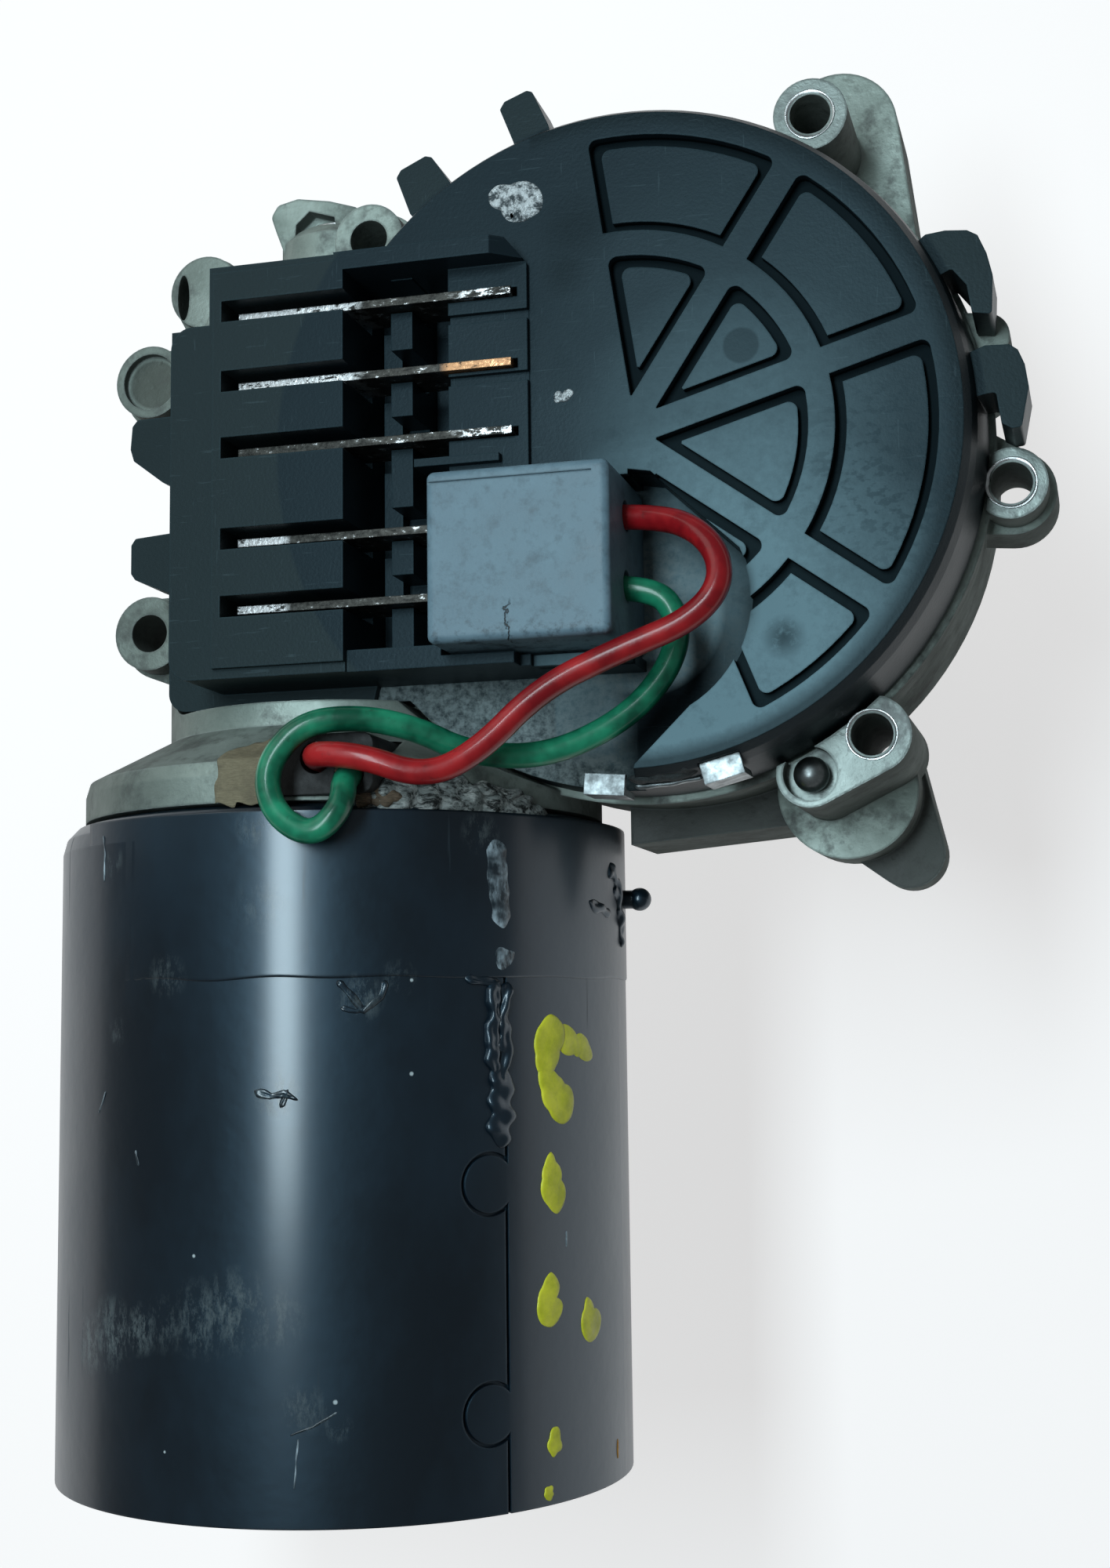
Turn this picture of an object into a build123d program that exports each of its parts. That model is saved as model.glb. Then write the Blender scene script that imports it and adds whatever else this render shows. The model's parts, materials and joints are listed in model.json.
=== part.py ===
from build123d import *
import math
import os

os.makedirs("parts", exist_ok=True)

# Wiper gear motor. Millimetres, Z up. The origin is on the output shaft's axis at the
# end face of the shaft tower, and the cover's round face looks up along +Z.

# ---------------------------------------------------------------- heights along Z
cover_face = 58.0        # the cover's round face
skirt_depth = 10.5       # cover face down to the joint with the housing
gasket_thickness = 0.8
worm_depth = 20.0        # cover face down to the worm's axis
bowl_depth = 34.0        # cover face down to the underside of the gear bowl
floor_thickness = 3.5
joint_z = cover_face - skirt_depth
rim_z = joint_z - gasket_thickness
worm_z = cover_face - worm_depth
bowl_z = cover_face - bowl_depth
floor_z = bowl_z + floor_thickness

# ---------------------------------------------------------------- worm and gear wheel
worm_offset = 36.7       # gear axis to motor axis
worm_pitch_radius = 5.2
gear_teeth = 54
tooth_out = 1.0          # tooth height above the pitch circle
tooth_in = 1.3           # and below it
tooth_share = 0.41       # tooth thickness over pitch, on both gears
flank_angle = 20.0
gear_width = 9.0
worm_turns = 7
rim_wall = 3.0
web_thickness = 3.0
hub_radius = 10.0
wheel_ribs = 8
wheel_radius = worm_offset - worm_pitch_radius
thread_pitch = 2 * math.pi * wheel_radius / gear_teeth
lead_slope = thread_pitch / (2 * math.pi * worm_pitch_radius)
motor_x = -worm_offset
gear_low = worm_z - gear_width / 2
gear_high = worm_z + gear_width / 2

# ---------------------------------------------------------------- output shaft and bushes
shaft_radius = 6.0
shaft_step = 1.0         # the shaft's head is this much thinner in radius
shaft_head = 2.6         # head above the gear wheel
journal_radius = 5.8     # thinner outside the tower
journal_step = 0.3       # the step lies this far inside its mouth
mouth_radius = 10.8      # chamfer of the tower's mouth
journal_out = 5.0        # plain shaft outside the tower
taper_length = 7.0
taper_tip_radius = 5.0
knurls = 24
thread_length = 12.0
thread_radius = 4.0
bush_wall = 2.2
bush_length = 8.0
running_play = 0.04      # radial, of a shaft in its bush
running_room = 0.3       # cover to the ball in the lower pad
seat_play = 0.02         # radial, of a bush or bearing in its seat
washer_radius = 10.0
washer_thickness = 1.0
seal_seat = 3.0
seal_radius = 1.04
clip_thickness = 0.8
park_disc_outer = 24.0
park_disc_inner = 12.0
park_disc_thickness = 0.5
finger_reaches = (14.5, 18.0, 21.5)  # where the park fingers touch the disc, from its axis
park_notch = 40.0        # degrees of the disc that are cut away

# ---------------------------------------------------------------- gear bowl and tower
chamber_play = 0.5
bowl_wall = 1.9
bowl_rim_radius = 35.6
bowl_flare = 8.0         # the rim widens to the bowl over this height
tower_radius = 12.5
tower_rib = 3.0
tower_ribs = 6
tower_rib_reach = 28.0
chamber_radius = wheel_radius + tooth_out + chamber_play
bowl_radius = chamber_radius + bowl_wall

# ---------------------------------------------------------------- bosses, heights from the cover face
hole_radius = 2.1
mount_foot = -32.0       # seats of the first and third mounting bosses
boss_one = (18.3, 34.3)
boss_one_top = -8.0
boss_two = (36.9, -5.3)
boss_two_top = -10.0
boss_two_foot = -20.5
boss_three = (22.7, -29.9)
boss_three_top = -8.0
ball_hole = (16.5, -33.5)
ball_radius = 1.8
ball_seat_radius = 1.4
ball_ring_radius = 2.7
ball_ring_depth = 2.2
boss_four = (-29.8, 26.7)
boss_five = (-50.3, 24.0)
eye = (-52.9, 23.6, 0.7, 2.6)    # narrow eye in the fifth boss: x, y and half sizes
boss_six = (-56.9, 14.3)
boss_seven = (-56.7, -14.3)
dimple_radius = 3.2      # blind recess of the sixth boss

# ---------------------------------------------------------------- worm tunnel and flange
tunnel_radius = 9.8
tunnel_end = 31.2
worm_room = 0.8          # round the worm's tips
end_bush_front = 22.4
end_bush_length = 6.5
worm_end_radius = 3.0
end_bush_radius = 5.5
thrust_screw_radius = 4.5
thrust_ball_radius = 2.0
side_left = -50.2
side_front = 22.6
side_back = -24.0
flange_neck = 19.2
neck_pad = (-50.2, -40.6, -28.3)     # raised pad on the neck: left, right and back
flange_radius = 28.2
flange_rear = -35.8
spigot_radius = 25.0
spigot_rear = -41.0
flange_room = 20.0
bearing_front = -26.0
ball_end_play = 0.1
journal_end = end_bush_front + 0.5
screw_seat = journal_end + ball_end_play + 2 * thrust_ball_radius
grommet_box = (-34.0, -23.3, -35.4, -29.4)   # left, right, back and front
grommet_top = 8.2        # above the cover face
grommet_foot = -1.0

# ---------------------------------------------------------------- motor
can_radius = 30.5
can_wall = 2.2
can_front = -36.0
can_length = 68.0
can_lip = 3.2
seam_turn = 39.0         # degrees round the can from +X towards +Z
seam_gap = 0.35
seam_knob = 3.1
seam_knob_set = 1.9      # a knob's centre beside the seam
seam_front = -54.0
seam_knobs = (-73.0, -94.6)
cap_wall = 2.0
cap_depth = 4.0
cap_sunk = 1.2           # end plate below the can's rear edge
cap_boss_radius = 10.2
cap_boss_length = 7.5
rear_bush_radius = 8.0
rear_bush_length = 6.4
stub_turn = -8.0         # degrees round the can, as for the seam
stub_place = -44.4
stub_length = 1.9
stub_radius = 1.0
stub_knob = 1.25
rivet_turn = 176.0
rivet_set = 7.0          # from the can's rear edge
motor_shaft_radius = 4.0
air_gap = 0.9
magnet_thickness = 6.6
magnet_front = -64.0
magnet_room = 8.8        # magnets to the end plate
magnet_arc = 128.0
core_slots = 12
wire_play = 0.2          # windings to the slots' walls
boss_room = 1.6          # end turns to the end plate's boss
commutator_radius = 11.0
commutator_front = -44.5
commutator_length = 12.0
commutator_bars = 12
bearing_radius = 11.0
bearing_width = 7.0
brush_width = 5.0
brush_height = 7.0
brush_length = 7.0
brush_play = 0.1
holder_wall = 0.6
holder_length = 10.5
brush_turn = 35.0        # the brushes stand at this angle from X
brush_gap = 0.2          # brush to commutator before they bed in
plate_thickness = 2.0
choke_radius = 2.5
choke_reach = 15.2
can_rear = can_front - can_length
can_bore = can_radius - can_wall
magnet_bore = can_bore - magnet_thickness
armature_radius = magnet_bore - air_gap
slot_circle = armature_radius - 6.5    # middles of the core's slots
slot_radius = 0.8 * math.pi * slot_circle / core_slots
plate_rear = spigot_rear - plate_thickness
holder_middle = plate_rear - holder_wall - brush_height / 2 - brush_play
cap_rear = can_rear + cap_sunk
cap_front = cap_rear + cap_wall
boss_front = cap_front + cap_boss_length
shaft_rear = cap_front + 0.6
magnet_rear = cap_front + magnet_room
magnet_length = magnet_front - magnet_rear
rivet_place = can_rear + rivet_set

# ---------------------------------------------------------------- cover
cover_base_radius = 34.9
cover_draft = 0.6        # the skirt is this much narrower at its shoulder
cover_edge = 1.1         # width of the rounded edge round the face
cover_wall = 2.4
skirt_wall = 2.2
groove = 1.05
groove_depth = 1.5
plate_drop = 0.55
pocket_corner = 0.9
spoke_half = 1.4
outer_pocket = (21.0, 30.9)
inner_pocket = (3.4, 18.4)
spoke_angles = (98.5, 56.4, 15.8, -36.1, -68.5)
pit_floor = 7.0          # lead pit, below the cover face
pit_plate = 2.0
tab_height = 7.0
tab_round = 0.35
clip_turns = (-94.6, -75.0)
clip_width = 4.2
clip_reach = 1.4         # over the face, from the cover's foot
clip_low = -5.8          # the clip's legs end here, from the cover face
clip_drop = 2.0
clip_steel = 0.7

cover_shoulder_radius = cover_base_radius - cover_draft
cover_top_radius = cover_shoulder_radius - cover_edge
clip_in = cover_base_radius - clip_reach

# ---------------------------------------------------------------- terminal block
block_top = 4.0          # above the cover face
block_left = -47.2
block_step = -42.3
block_right = -9.5
strip_front = 14.5       # the left strip ends here, in a round corner
strip_round = 2.3
block_front = 20.6
block_back = -22.6
foot_left = -51.6        # the cover's foot round the block
foot_front = 22.8
foot_back = -24.2
foot_top = -6.0
notch_left = -46.9       # notch of the foot beside the fifth boss
notch_back = 17.6
wall_cut = (-11.3, -7.5, 16.0)       # slanted right end of the front wall: left, right and back
well_left = -28.0
well_right = -17.8
well_front = 18.7
well_back = -20.4
well_depth = 8.5
shelf_top = 0.8          # right bank of the well, above the cover face
comb_left = -24.4
comb_right = -22.1
comb_top = -0.5
comb_gap = 3.0           # open in front of each blade
comb_play = 0.1          # behind it
comb_step = 2.0          # width of the lower steps
comb_step_share = 0.8    # their length over the blades' spacing
comb_step_top = -4.0
ledge = (-21.2, -12.3, -1.9, -1.1)     # low lip in front of the plug: left, right, back and front
ledge_top = 1.8
blade_rows = (15.6, 8.2, 1.2, -8.3, -15.3)
blade_thickness = 0.8
blade_width = 6.3
blade_top = 1.6
blade_left = -40.4
blade_right = -11.0
blade_slot = 2.2
blade_in_plug = 9.0      # blades four and five end this far inside the plug
slot_left = -41.3
slot_play = 0.1          # of a blade in its slot in the right bank

# ---------------------------------------------------------------- plug and leads
plug_left = -18.0
plug_right = 0.3
plug_front = -4.2
plug_back = -21.2
plug_top = 8.0           # above the cover face
plug_height = 15.0
plug_round = 0.8
plug_low = cover_face + plug_top - plug_height
plug_rows = blade_rows[3:]
cavity_width = 4.2
cavity_height = 7.4
receptacle_wall = 0.45
lead_radius = 1.25
lead_room = 0.3
lead_height = cover_face + 0.6


# Leads: x, y and rise above the cover face
red_route = (
    (-4.2, -8.3, 0.6), (3.4, -8.3, 0.6), (9.2, -11.7, 4.3), (10.9, -16.3, 5.6), (7.9, -20.1, 6.0),
    (0.8, -22.7, 6.5), (-6.7, -26.1, 7.5), (-12.7, -32.3, 9.0), (-17.5, -34.5, 10.5), (-23.4, -32.2, 11.8),
    (-29.3, -31.8, 11.5), (-29.3, -31.8, 5.2))
green_route = (
    (-4.2, -15.3, 0.6), (2.7, -15.3, 0.6), (5.5, -18.7, 0.3), (4.3, -23.4, -0.6), (-0.1, -28.4, 0.2),
    (-7.5, -32.0, 2.2), (-14.7, -31.7, 4.8), (-19.4, -29.2, 7.0), (-24.7, -28.1, 9.2), (-29.9, -28.8, 10.8),
    (-33.2, -33.0, 11.4), (-32.0, -37.5, 12.2), (-27.9, -40.0, 12.6), (-25.0, -37.2, 12.0),
    (-25.8, -33.4, 9.5), (-25.8, -33.4, 5.2))


# ================================================================ helpers
def above(rise):
    """Height of a place given from the cover's round face."""
    return cover_face + rise


def disc(radius, low, high, x=0.0, y=0.0):
    """Upright cylinder between two heights."""
    return Pos(x, y, (low + high) / 2) * Cylinder(radius, high - low)


def ring(outer, inner, low, high, x=0.0, y=0.0):
    """Upright tube between two heights."""
    return disc(outer, low, high, x, y) - disc(inner, low - 1, high + 1, x, y)


def block(left, right, back, front, low, high):
    """Box between six planes."""
    middle = Pos((left + right) / 2, (back + front) / 2, (low + high) / 2)
    return middle * Box(right - left, front - back, high - low)


def prism(face, low, high):
    """A flat outline carried from one height to another."""
    return Pos(0, 0, low) * extrude(face, high - low)


def outline(*points):
    """Flat face inside straight edges."""
    return make_face(Polyline(*points, close=True))


def outline_from(place, *points):
    """Flat face inside straight edges, its corners given from a place and kept to a thousandth."""
    return outline(*[(round(place[0] + x, 3), round(place[1] + y, 3)) for x, y in points])


def motor_disc(radius, rear, front):
    """Cylinder on the motor's axis between two places along Y."""
    middle = Pos(motor_x, (rear + front) / 2, worm_z) * Rot(90, 0, 0)
    return middle * Cylinder(radius, front - rear)


def motor_ring(outer, inner, rear, front):
    """Tube on the motor's axis."""
    return motor_disc(outer, rear, front) - motor_disc(inner, rear - 1, front + 1)


def motor_turned(*points):
    """Solid turned about the motor's axis, from pairs of radius and Y."""
    return Pos(motor_x, 0, worm_z) * revolve(outline(*points), Axis.Y)


def about_motor(degrees):
    """Place on the motor's axis, turned so that local X points out at an angle from +X to +Z."""
    return Pos(motor_x, 0, worm_z) * Rot(0, -degrees, 0)


def gear_turned(*points):
    """Solid turned about the output axis, from pairs of radius and Z."""
    return revolve(Rot(90, 0, 0) * outline(*points), Axis.Z)


def polar(radius, degrees):
    """Point on a circle about the output axis."""
    turn = math.radians(degrees)
    return (radius * math.cos(turn), radius * math.sin(turn))


def lobe(x, y, radius, root_x, root_y, root_radius):
    """Outline round two circles, for a boss that grows from a wall."""
    circles = Sketch() + [Pos(x, y) * Circle(radius), Pos(root_x, root_y) * Circle(root_radius)]
    return make_hull(circles.edges())


def save(name, shape):
    """Writes one node."""
    shape.label = name
    export_step(shape, f"parts/{name}.step")


# ================================================================ gear wheel and output shaft
def toothed_outline(turn):
    """Outline of the gear wheel across its axis, turned by an angle in radians."""
    tip = wheel_radius + tooth_out
    root = wheel_radius - tooth_in
    half = tooth_share * thread_pitch / 2
    slope = math.tan(math.radians(flank_angle))
    tip_half = (half - tooth_out * slope) / tip
    root_half = (half + tooth_in * slope) / root
    points = []
    for tooth in range(gear_teeth):
        middle = math.pi + turn + (tooth + 0.5) * 2 * math.pi / gear_teeth
        for radius, side in ((root, -root_half), (tip, -tip_half), (tip, tip_half), (root, root_half)):
            points.append((radius * math.cos(middle + side), radius * math.sin(middle + side)))
    return outline(*points)


def gear_wheel():
    """Moulded helical wheel: toothed rim, thin web with ribs below it, and hub."""
    twist = gear_width / 2 * lead_slope / wheel_radius
    bottom = Pos(0, 0, gear_low) * toothed_outline(-twist)
    top = Pos(0, 0, gear_high) * toothed_outline(twist)
    wheel = loft([bottom, top], ruled=True)
    rim = wheel_radius - tooth_in - rim_wall
    web_low = worm_z - web_thickness / 2
    hollow = ring(rim, hub_radius, gear_low - 1, web_low)
    for rib in range(wheel_ribs):
        arm = block(hub_radius - 1, rim + 1, -1.0, 1.0, gear_low - 2, web_low + 1)
        hollow -= Rot(0, 0, rib * 360 / wheel_ribs) * arm
    wheel -= hollow
    wheel -= ring(rim, hub_radius, gear_high - park_disc_thickness - 0.6, gear_high + 1)
    wheel -= ring(rim, park_disc_outer + 1.5, web_low + web_thickness, gear_high + 1)
    return wheel - disc(shaft_radius - shaft_step, gear_low - 1, gear_high + 1)


def output_shaft():
    """Shaft with its head in the wheel, a plain journal, a knurled taper and a plain end."""
    taper_end = -journal_out - taper_length
    tip = taper_end - thread_length
    head = shaft_radius - shaft_step
    shaft = gear_turned(
        (0, tip), (thread_radius - 0.8, tip), (thread_radius, tip + 0.8), (thread_radius, taper_end),
        (taper_tip_radius, taper_end), (journal_radius, -journal_out), (journal_radius, journal_step),
        (shaft_radius, journal_step), (shaft_radius, gear_low),
        (head, gear_low), (head, gear_high + shaft_head), (0, gear_high + shaft_head))
    lean = math.degrees(math.atan2(journal_radius - taper_tip_radius, taper_length))
    middle = (journal_radius + taper_tip_radius) / 2
    for knurl in range(knurls):
        place = Rot(0, 0, knurl * 360 / knurls) * Pos(middle, 0, -journal_out - taper_length / 2)
        shaft -= place * Rot(0, lean, 0) * Rot(0, 0, 45) * Box(0.7, 0.7, taper_length - 1)
    return shaft - ring(head + 1, head - 0.5, gear_high + 0.2, gear_high + 0.2 + clip_thickness)


def shaft_clip():
    """Spring clip in the groove at the shaft's head."""
    clip = ring(shaft_radius - shaft_step + 2.2, shaft_radius - shaft_step - 0.45,
                gear_high + 0.2, gear_high + 0.2 + clip_thickness)
    return clip - block(0, 20, -2.5, 2.5, gear_high - 1, gear_high + 5)


def park_disc():
    """Contact disc on the wheel's upper face, with a notch that marks the park position."""
    low = gear_high - park_disc_thickness - 0.6
    plate = ring(park_disc_outer, park_disc_inner, low, low + park_disc_thickness)
    reach = park_disc_outer + 1
    notch = outline((0, 0), polar(reach * 1.2, 90 - park_notch / 2), polar(reach * 1.2, 90 + park_notch / 2))
    notch = prism(notch, low - 1, low + 2)
    return plate - (notch - disc(park_disc_inner + 5, low - 2, low + 3))


def thrust_washer():
    """Washer under the wheel's hub."""
    return ring(washer_radius, shaft_radius + running_play, gear_low - washer_thickness, gear_low)


# ================================================================ armature
def worm_thread():
    """Thread of one start, right-handed, along local Z from a flank profile of straight lines."""
    core = worm_pitch_radius - tooth_in
    tip = worm_pitch_radius + tooth_out
    half = tooth_share * thread_pitch / 2
    slope = math.tan(math.radians(flank_angle))
    root_half = half + tooth_in * slope
    tip_half = half - tooth_out * slope
    length = worm_turns * thread_pitch
    sunk = 0.05
    edges = []
    foot = core - sunk
    for radius, shift in ((foot, -root_half), (tip, -tip_half), (tip, tip_half), (foot, root_half)):
        edges.append(Pos(0, 0, shift) * Helix(thread_pitch, length, radius))
    faces = [Face.make_surface_from_curves(edges[i], edges[(i + 1) % 4]) for i in range(4)]
    for end in (0, 1):
        faces.append(Face(Wire.make_polygon([edge @ end for edge in edges], close=True)))
    return Solid(Shell(faces))


def armature_shaft():
    """Motor shaft with the worm rolled on it, and a thinner journal at the worm's end."""
    core = worm_pitch_radius - tooth_in
    reach = worm_turns * thread_pitch / 2
    shaft = motor_turned(
        (0, shaft_rear), (motor_shaft_radius, shaft_rear),
        (motor_shaft_radius, -reach - 4), (core, -reach - 3), (core, reach + 2),
        (worm_end_radius, reach + 2.5), (worm_end_radius, journal_end), (0, journal_end))
    phase = Rot(0, 0, 180 * worm_turns)
    thread = Pos(motor_x, -reach, worm_z) * Rot(-90, 0, 0) * phase * worm_thread()
    return shaft + thread


def armature_core():
    """Laminated core with slots that open to the air gap."""
    core = motor_ring(armature_radius, motor_shaft_radius, magnet_rear, magnet_front)
    middle = (magnet_front + magnet_rear) / 2
    length = magnet_length + 2
    for slot in range(core_slots):
        place = about_motor(slot * 360 / core_slots)
        mouth = place * Pos(armature_radius - 2.0, middle, 0) * Box(6, length, 2.0)
        room = place * Pos(slot_circle, middle, 0) * Rot(90, 0, 0) * Cylinder(slot_radius, length)
        core -= mouth + room
    return core


def armature_windings():
    """Copper in the slots, with the end turns bundled beyond both ends of the core."""
    middle = (magnet_front + magnet_rear) / 2
    full = armature_radius - 2.1
    inner = cap_boss_radius + boss_room
    hub = motor_shaft_radius + 2.5
    rear = motor_turned((inner + 0.6, magnet_rear), (full - 1.7, magnet_rear), (full, magnet_rear - 3.0),
                        (full - 1.2, magnet_rear - 6.5), (inner + 1.7, magnet_rear - 6.5),
                        (inner, magnet_rear - 3.5))
    front = motor_turned((hub + 0.5, magnet_front), (full - 1.7, magnet_front), (full, magnet_front + 2.6),
                         (full - 3.2, magnet_front + 5.6), (hub + 2.5, magnet_front + 5.6),
                         (hub, magnet_front + 3))
    coil = rear + front
    for slot in range(core_slots):
        bar = about_motor(slot * 360 / core_slots) * Pos(slot_circle, middle, 0) * Rot(90, 0, 0)
        coil += bar * Cylinder(slot_radius - wire_play, magnet_length)
    return coil


def commutator():
    """Copper bars round an insulating core, with risers at the core's side."""
    rear = commutator_front - commutator_length
    drum = motor_ring(commutator_radius, motor_shaft_radius, rear, commutator_front)
    drum += motor_ring(commutator_radius + 1.4, motor_shaft_radius, rear, rear + 2.0)
    for bar in range(commutator_bars):
        place = about_motor((bar + 0.5) * 360 / commutator_bars)
        place *= Pos(commutator_radius, (rear + commutator_front) / 2, 0)
        drum -= place * Box(4, commutator_length + 2, 0.6)
    return drum


# ================================================================ housing
def bowl():
    """Round gear bowl with a flared rim and a rounded foot."""
    foot = 4.0
    shape = gear_turned(
        (0, bowl_z), (bowl_radius - foot, bowl_z), (bowl_radius, bowl_z + foot),
        (bowl_radius, rim_z - bowl_flare), (bowl_rim_radius, rim_z), (0, rim_z))
    return shape


def tower():
    """Shaft tower under the bowl, with ribs out to the bowl's foot."""
    column = gear_turned((0, 0), (tower_radius - 1.2, 0), (tower_radius, 1.2),
                         (tower_radius + 1.5, bowl_z + 1), (0, bowl_z + 1))
    for rib in range(tower_ribs):
        web = outline((tower_radius - 2, 5), (tower_radius - 2, bowl_z + 1), (tower_rib_reach, bowl_z + 1),
                      (tower_rib_reach, bowl_z - 2))
        web = Pos(0, tower_rib / 2, 0) * extrude(Rot(90, 0, 0) * web, tower_rib)
        column += Rot(0, 0, 30 + rib * 360 / tower_ribs) * web
    return column


def side_box():
    """Left part of the casting, which carries the terminal block's end of the cover."""
    low = worm_z - tunnel_radius + 1.5
    plan = Pos(side_left / 2, (side_front + side_back) / 2) * RectangleRounded(
        -side_left, side_front - side_back, 3.5)
    return prism(plan, low, rim_z)


def flange():
    """Neck and cone that open out to the can, with the spigot that centres it."""
    return motor_turned(
        (0, side_back + 2), (flange_neck, side_back + 2), (flange_neck, -27.0), (flange_radius - 0.4, -31.6),
        (flange_radius, -33.0), (flange_radius, flange_rear), (spigot_radius, flange_rear),
        (spigot_radius, spigot_rear), (0, spigot_rear))


def tunnel():
    """Round end of the casting over the worm."""
    narrow = tunnel_radius - 2.6
    return motor_turned((0, -30), (tunnel_radius, -30), (tunnel_radius, 17.0), (narrow, 19.0),
                        (narrow, tunnel_end - 1.2), (narrow - 1.2, tunnel_end), (0, tunnel_end))


def boss(x, y, top, collar, body, root, shoulder, foot):
    """Collar round a hole at x, y on a body that grows from the wall; body and root are x, y, radius."""
    shape = prism(lobe(*body, *root), above(foot), above(shoulder))
    return shape + disc(collar, above(shoulder) - 1, above(top), x, y)


def mounting_bosses():
    """The three bosses that bolt the motor to its bracket."""
    one = boss(*boss_one, boss_one_top, 3.8, (19.7, 37.5, 6.3), (19.0, 21.0, 9.0), -20.0, mount_foot)
    two = boss(*boss_two, boss_two_top, 3.6, (*boss_two, 4.3), (30.0, -3.0, 6.0), -14.0, boss_two_foot)
    pad = prism(lobe(*boss_three, 3.9, *ball_hole, 3.4), above(-26), above(boss_three_top))
    shoulder = disc(7.4, above(mount_foot) + 3, above(-22.0), 18.4, -33.6)
    foot = prism(lobe(24.1, -40.1, 3.8, 19.0, -32.4, 7.0), above(mount_foot), above(-27.0))
    return one + two + pad + shoulder + foot


def side_bosses():
    """Smaller bosses round the terminal end and the lug past the worm tunnel's end."""
    four = boss(*boss_four, -8.6, 3.9, (*boss_four, 4.4), (-33.5, 18.0, 5.0), -13.0, -24.0)
    plan = outline((-42.0, 18.0), (-42.2, 28.4), (-43.4, 31.6), (-44.0, 33.4), (-43.2, 34.7), (-40.8, 35.2),
                   (-37.0, 34.5), (-33.7, 33.4), (-31.5, 29.0), (-31.0, 18.0))
    step = outline((-41.4, 27.0), (-41.0, 32.2), (-39.4, 33.6), (-36.4, 32.6), (-35.6, 27.0))
    lug = prism(fillet(plan.vertices(), 0.9), above(-26.0), above(-15.5))
    lug -= prism(step, above(-17.5), above(-10))
    five = boss(*boss_five, -11.6, 4.1, (*boss_five, 4.3), (-44.0, 16.0, 6.0), -13.0, -26.0)
    six = boss(*boss_six, -11.6, 4.1, (*boss_six, 4.6), (-46.0, 13.0, 5.5), -15.0, -26.0)
    seven = boss(*boss_seven, -11.6, 4.1, (*boss_seven, 4.6), (-46.0, -16.0, 6.5), -15.0, -26.0)
    return four + lug + five + six + seven


def webs():
    """Web from the lower boss to the flange, catch for the cover's hooks, and a pad on the neck."""
    web = prism(outline((16.0, -36.8), (-5.2, -38.6), (-5.2, -28.0), (16.0, -26.0)), above(-36), above(-23))
    catch = lobe(cover_base_radius, 10.0, 2.4, cover_base_radius - 1.9, 9.6, 3.0)
    catch = prism(catch, above(-30), above(-10.6))
    left, right, back = neck_pad
    pad = block(left, right, back, foot_back - 0.5, above(-12.0), above(-8.0))
    pad = fillet(pad.edges().filter_by(Axis.Z), 1.0)
    return web + catch + pad


def bores():
    """Everything that is bored or cast open in the housing."""
    bush_radius = shaft_radius + bush_wall
    worm_bore = worm_pitch_radius + tooth_out + worm_room
    cuts = disc(chamber_radius, floor_z, above(0))
    cuts += disc(bush_radius, -1, seal_seat + bush_length)
    cuts += gear_turned((0, 0), (mouth_radius, 0), (bush_radius, 1.0), (0, 1.0))
    cuts += disc(bush_radius - 0.6, 0, floor_z)
    cuts += disc(bush_radius, floor_z - bush_length, floor_z + 1)
    cuts += motor_disc(worm_bore, -26, end_bush_front - end_bush_length)
    cuts += motor_disc(end_bush_radius, -20, end_bush_front)
    cuts += motor_disc(worm_end_radius + 0.3, 0, end_bush_front + 0.8)
    cuts += motor_disc(thrust_ball_radius + ball_end_play, 0, screw_seat)
    cuts += motor_disc(thrust_screw_radius, screw_seat, tunnel_end + 1)
    cuts += motor_disc(bearing_radius, bearing_front - bearing_width, bearing_front)
    cuts += motor_disc(flange_room, spigot_rear - 1, bearing_front - bearing_width)
    return cuts


def boss_holes():
    """Holes of all bosses."""
    low = above(mount_foot) - 1
    holes = disc(hole_radius, low, above(0), *boss_one)
    holes += disc(hole_radius, above(boss_two_foot) - 0.5, above(0), *boss_two)
    holes += disc(hole_radius, low, above(0), *boss_three)
    holes += disc(ball_seat_radius, above(-20), above(0), *ball_hole)
    holes += disc(ball_ring_radius, above(boss_three_top - ball_ring_depth), above(0), *ball_hole)
    holes += disc(hole_radius, above(-22), above(0), *boss_four)
    holes += prism(Pos(eye[0], eye[1]) * Ellipse(eye[2], eye[3]), above(-16), above(0))
    holes += disc(dimple_radius, above(-12.6), above(0), *boss_six)
    return holes + disc(hole_radius, above(-40), above(0), *boss_seven)


def foot_plan(grow=0.0):
    """Outline of the cover's foot under the terminal end, with a notch beside the fifth boss."""
    left = foot_left - grow
    front = foot_front + grow
    back = foot_back - grow
    end = Pos(left / 2, (front + back) / 2) * RectangleRounded(-left, front - back, 2.0 + grow)
    return end - Pos(notch_left - grow - 10, notch_back + grow + 10) * Rectangle(20, 20)


def base_plan(grow=0.0):
    """Outline of the whole foot: the round part and the terminal end."""
    return Circle(cover_base_radius + grow) + foot_plan(grow)


def gear_housing():
    """Cast housing: gear bowl, shaft tower, worm tunnel, motor flange and bosses."""
    casting = bowl() + tower() + side_box() + tunnel() + flange()
    casting += mounting_bosses()
    casting += side_bosses()
    casting += webs()
    casting -= prism(base_plan(0.3), rim_z, above(20))
    casting -= bores()
    casting -= boss_holes()
    return casting - block(*grommet_box, above(grommet_foot), above(20))


def cover_gasket():
    """Flat seal between the cover and the housing."""
    return prism(base_plan(-0.2) - base_plan(-1.4), rim_z, joint_z)


def pad_ball():
    """Ball that plugs the second hole of the lower pad."""
    seat = above(boss_three_top - ball_ring_depth)
    rise = math.sqrt(ball_radius ** 2 - ball_seat_radius ** 2)
    return Pos(*ball_hole, seat + rise) * Sphere(ball_radius)


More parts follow.
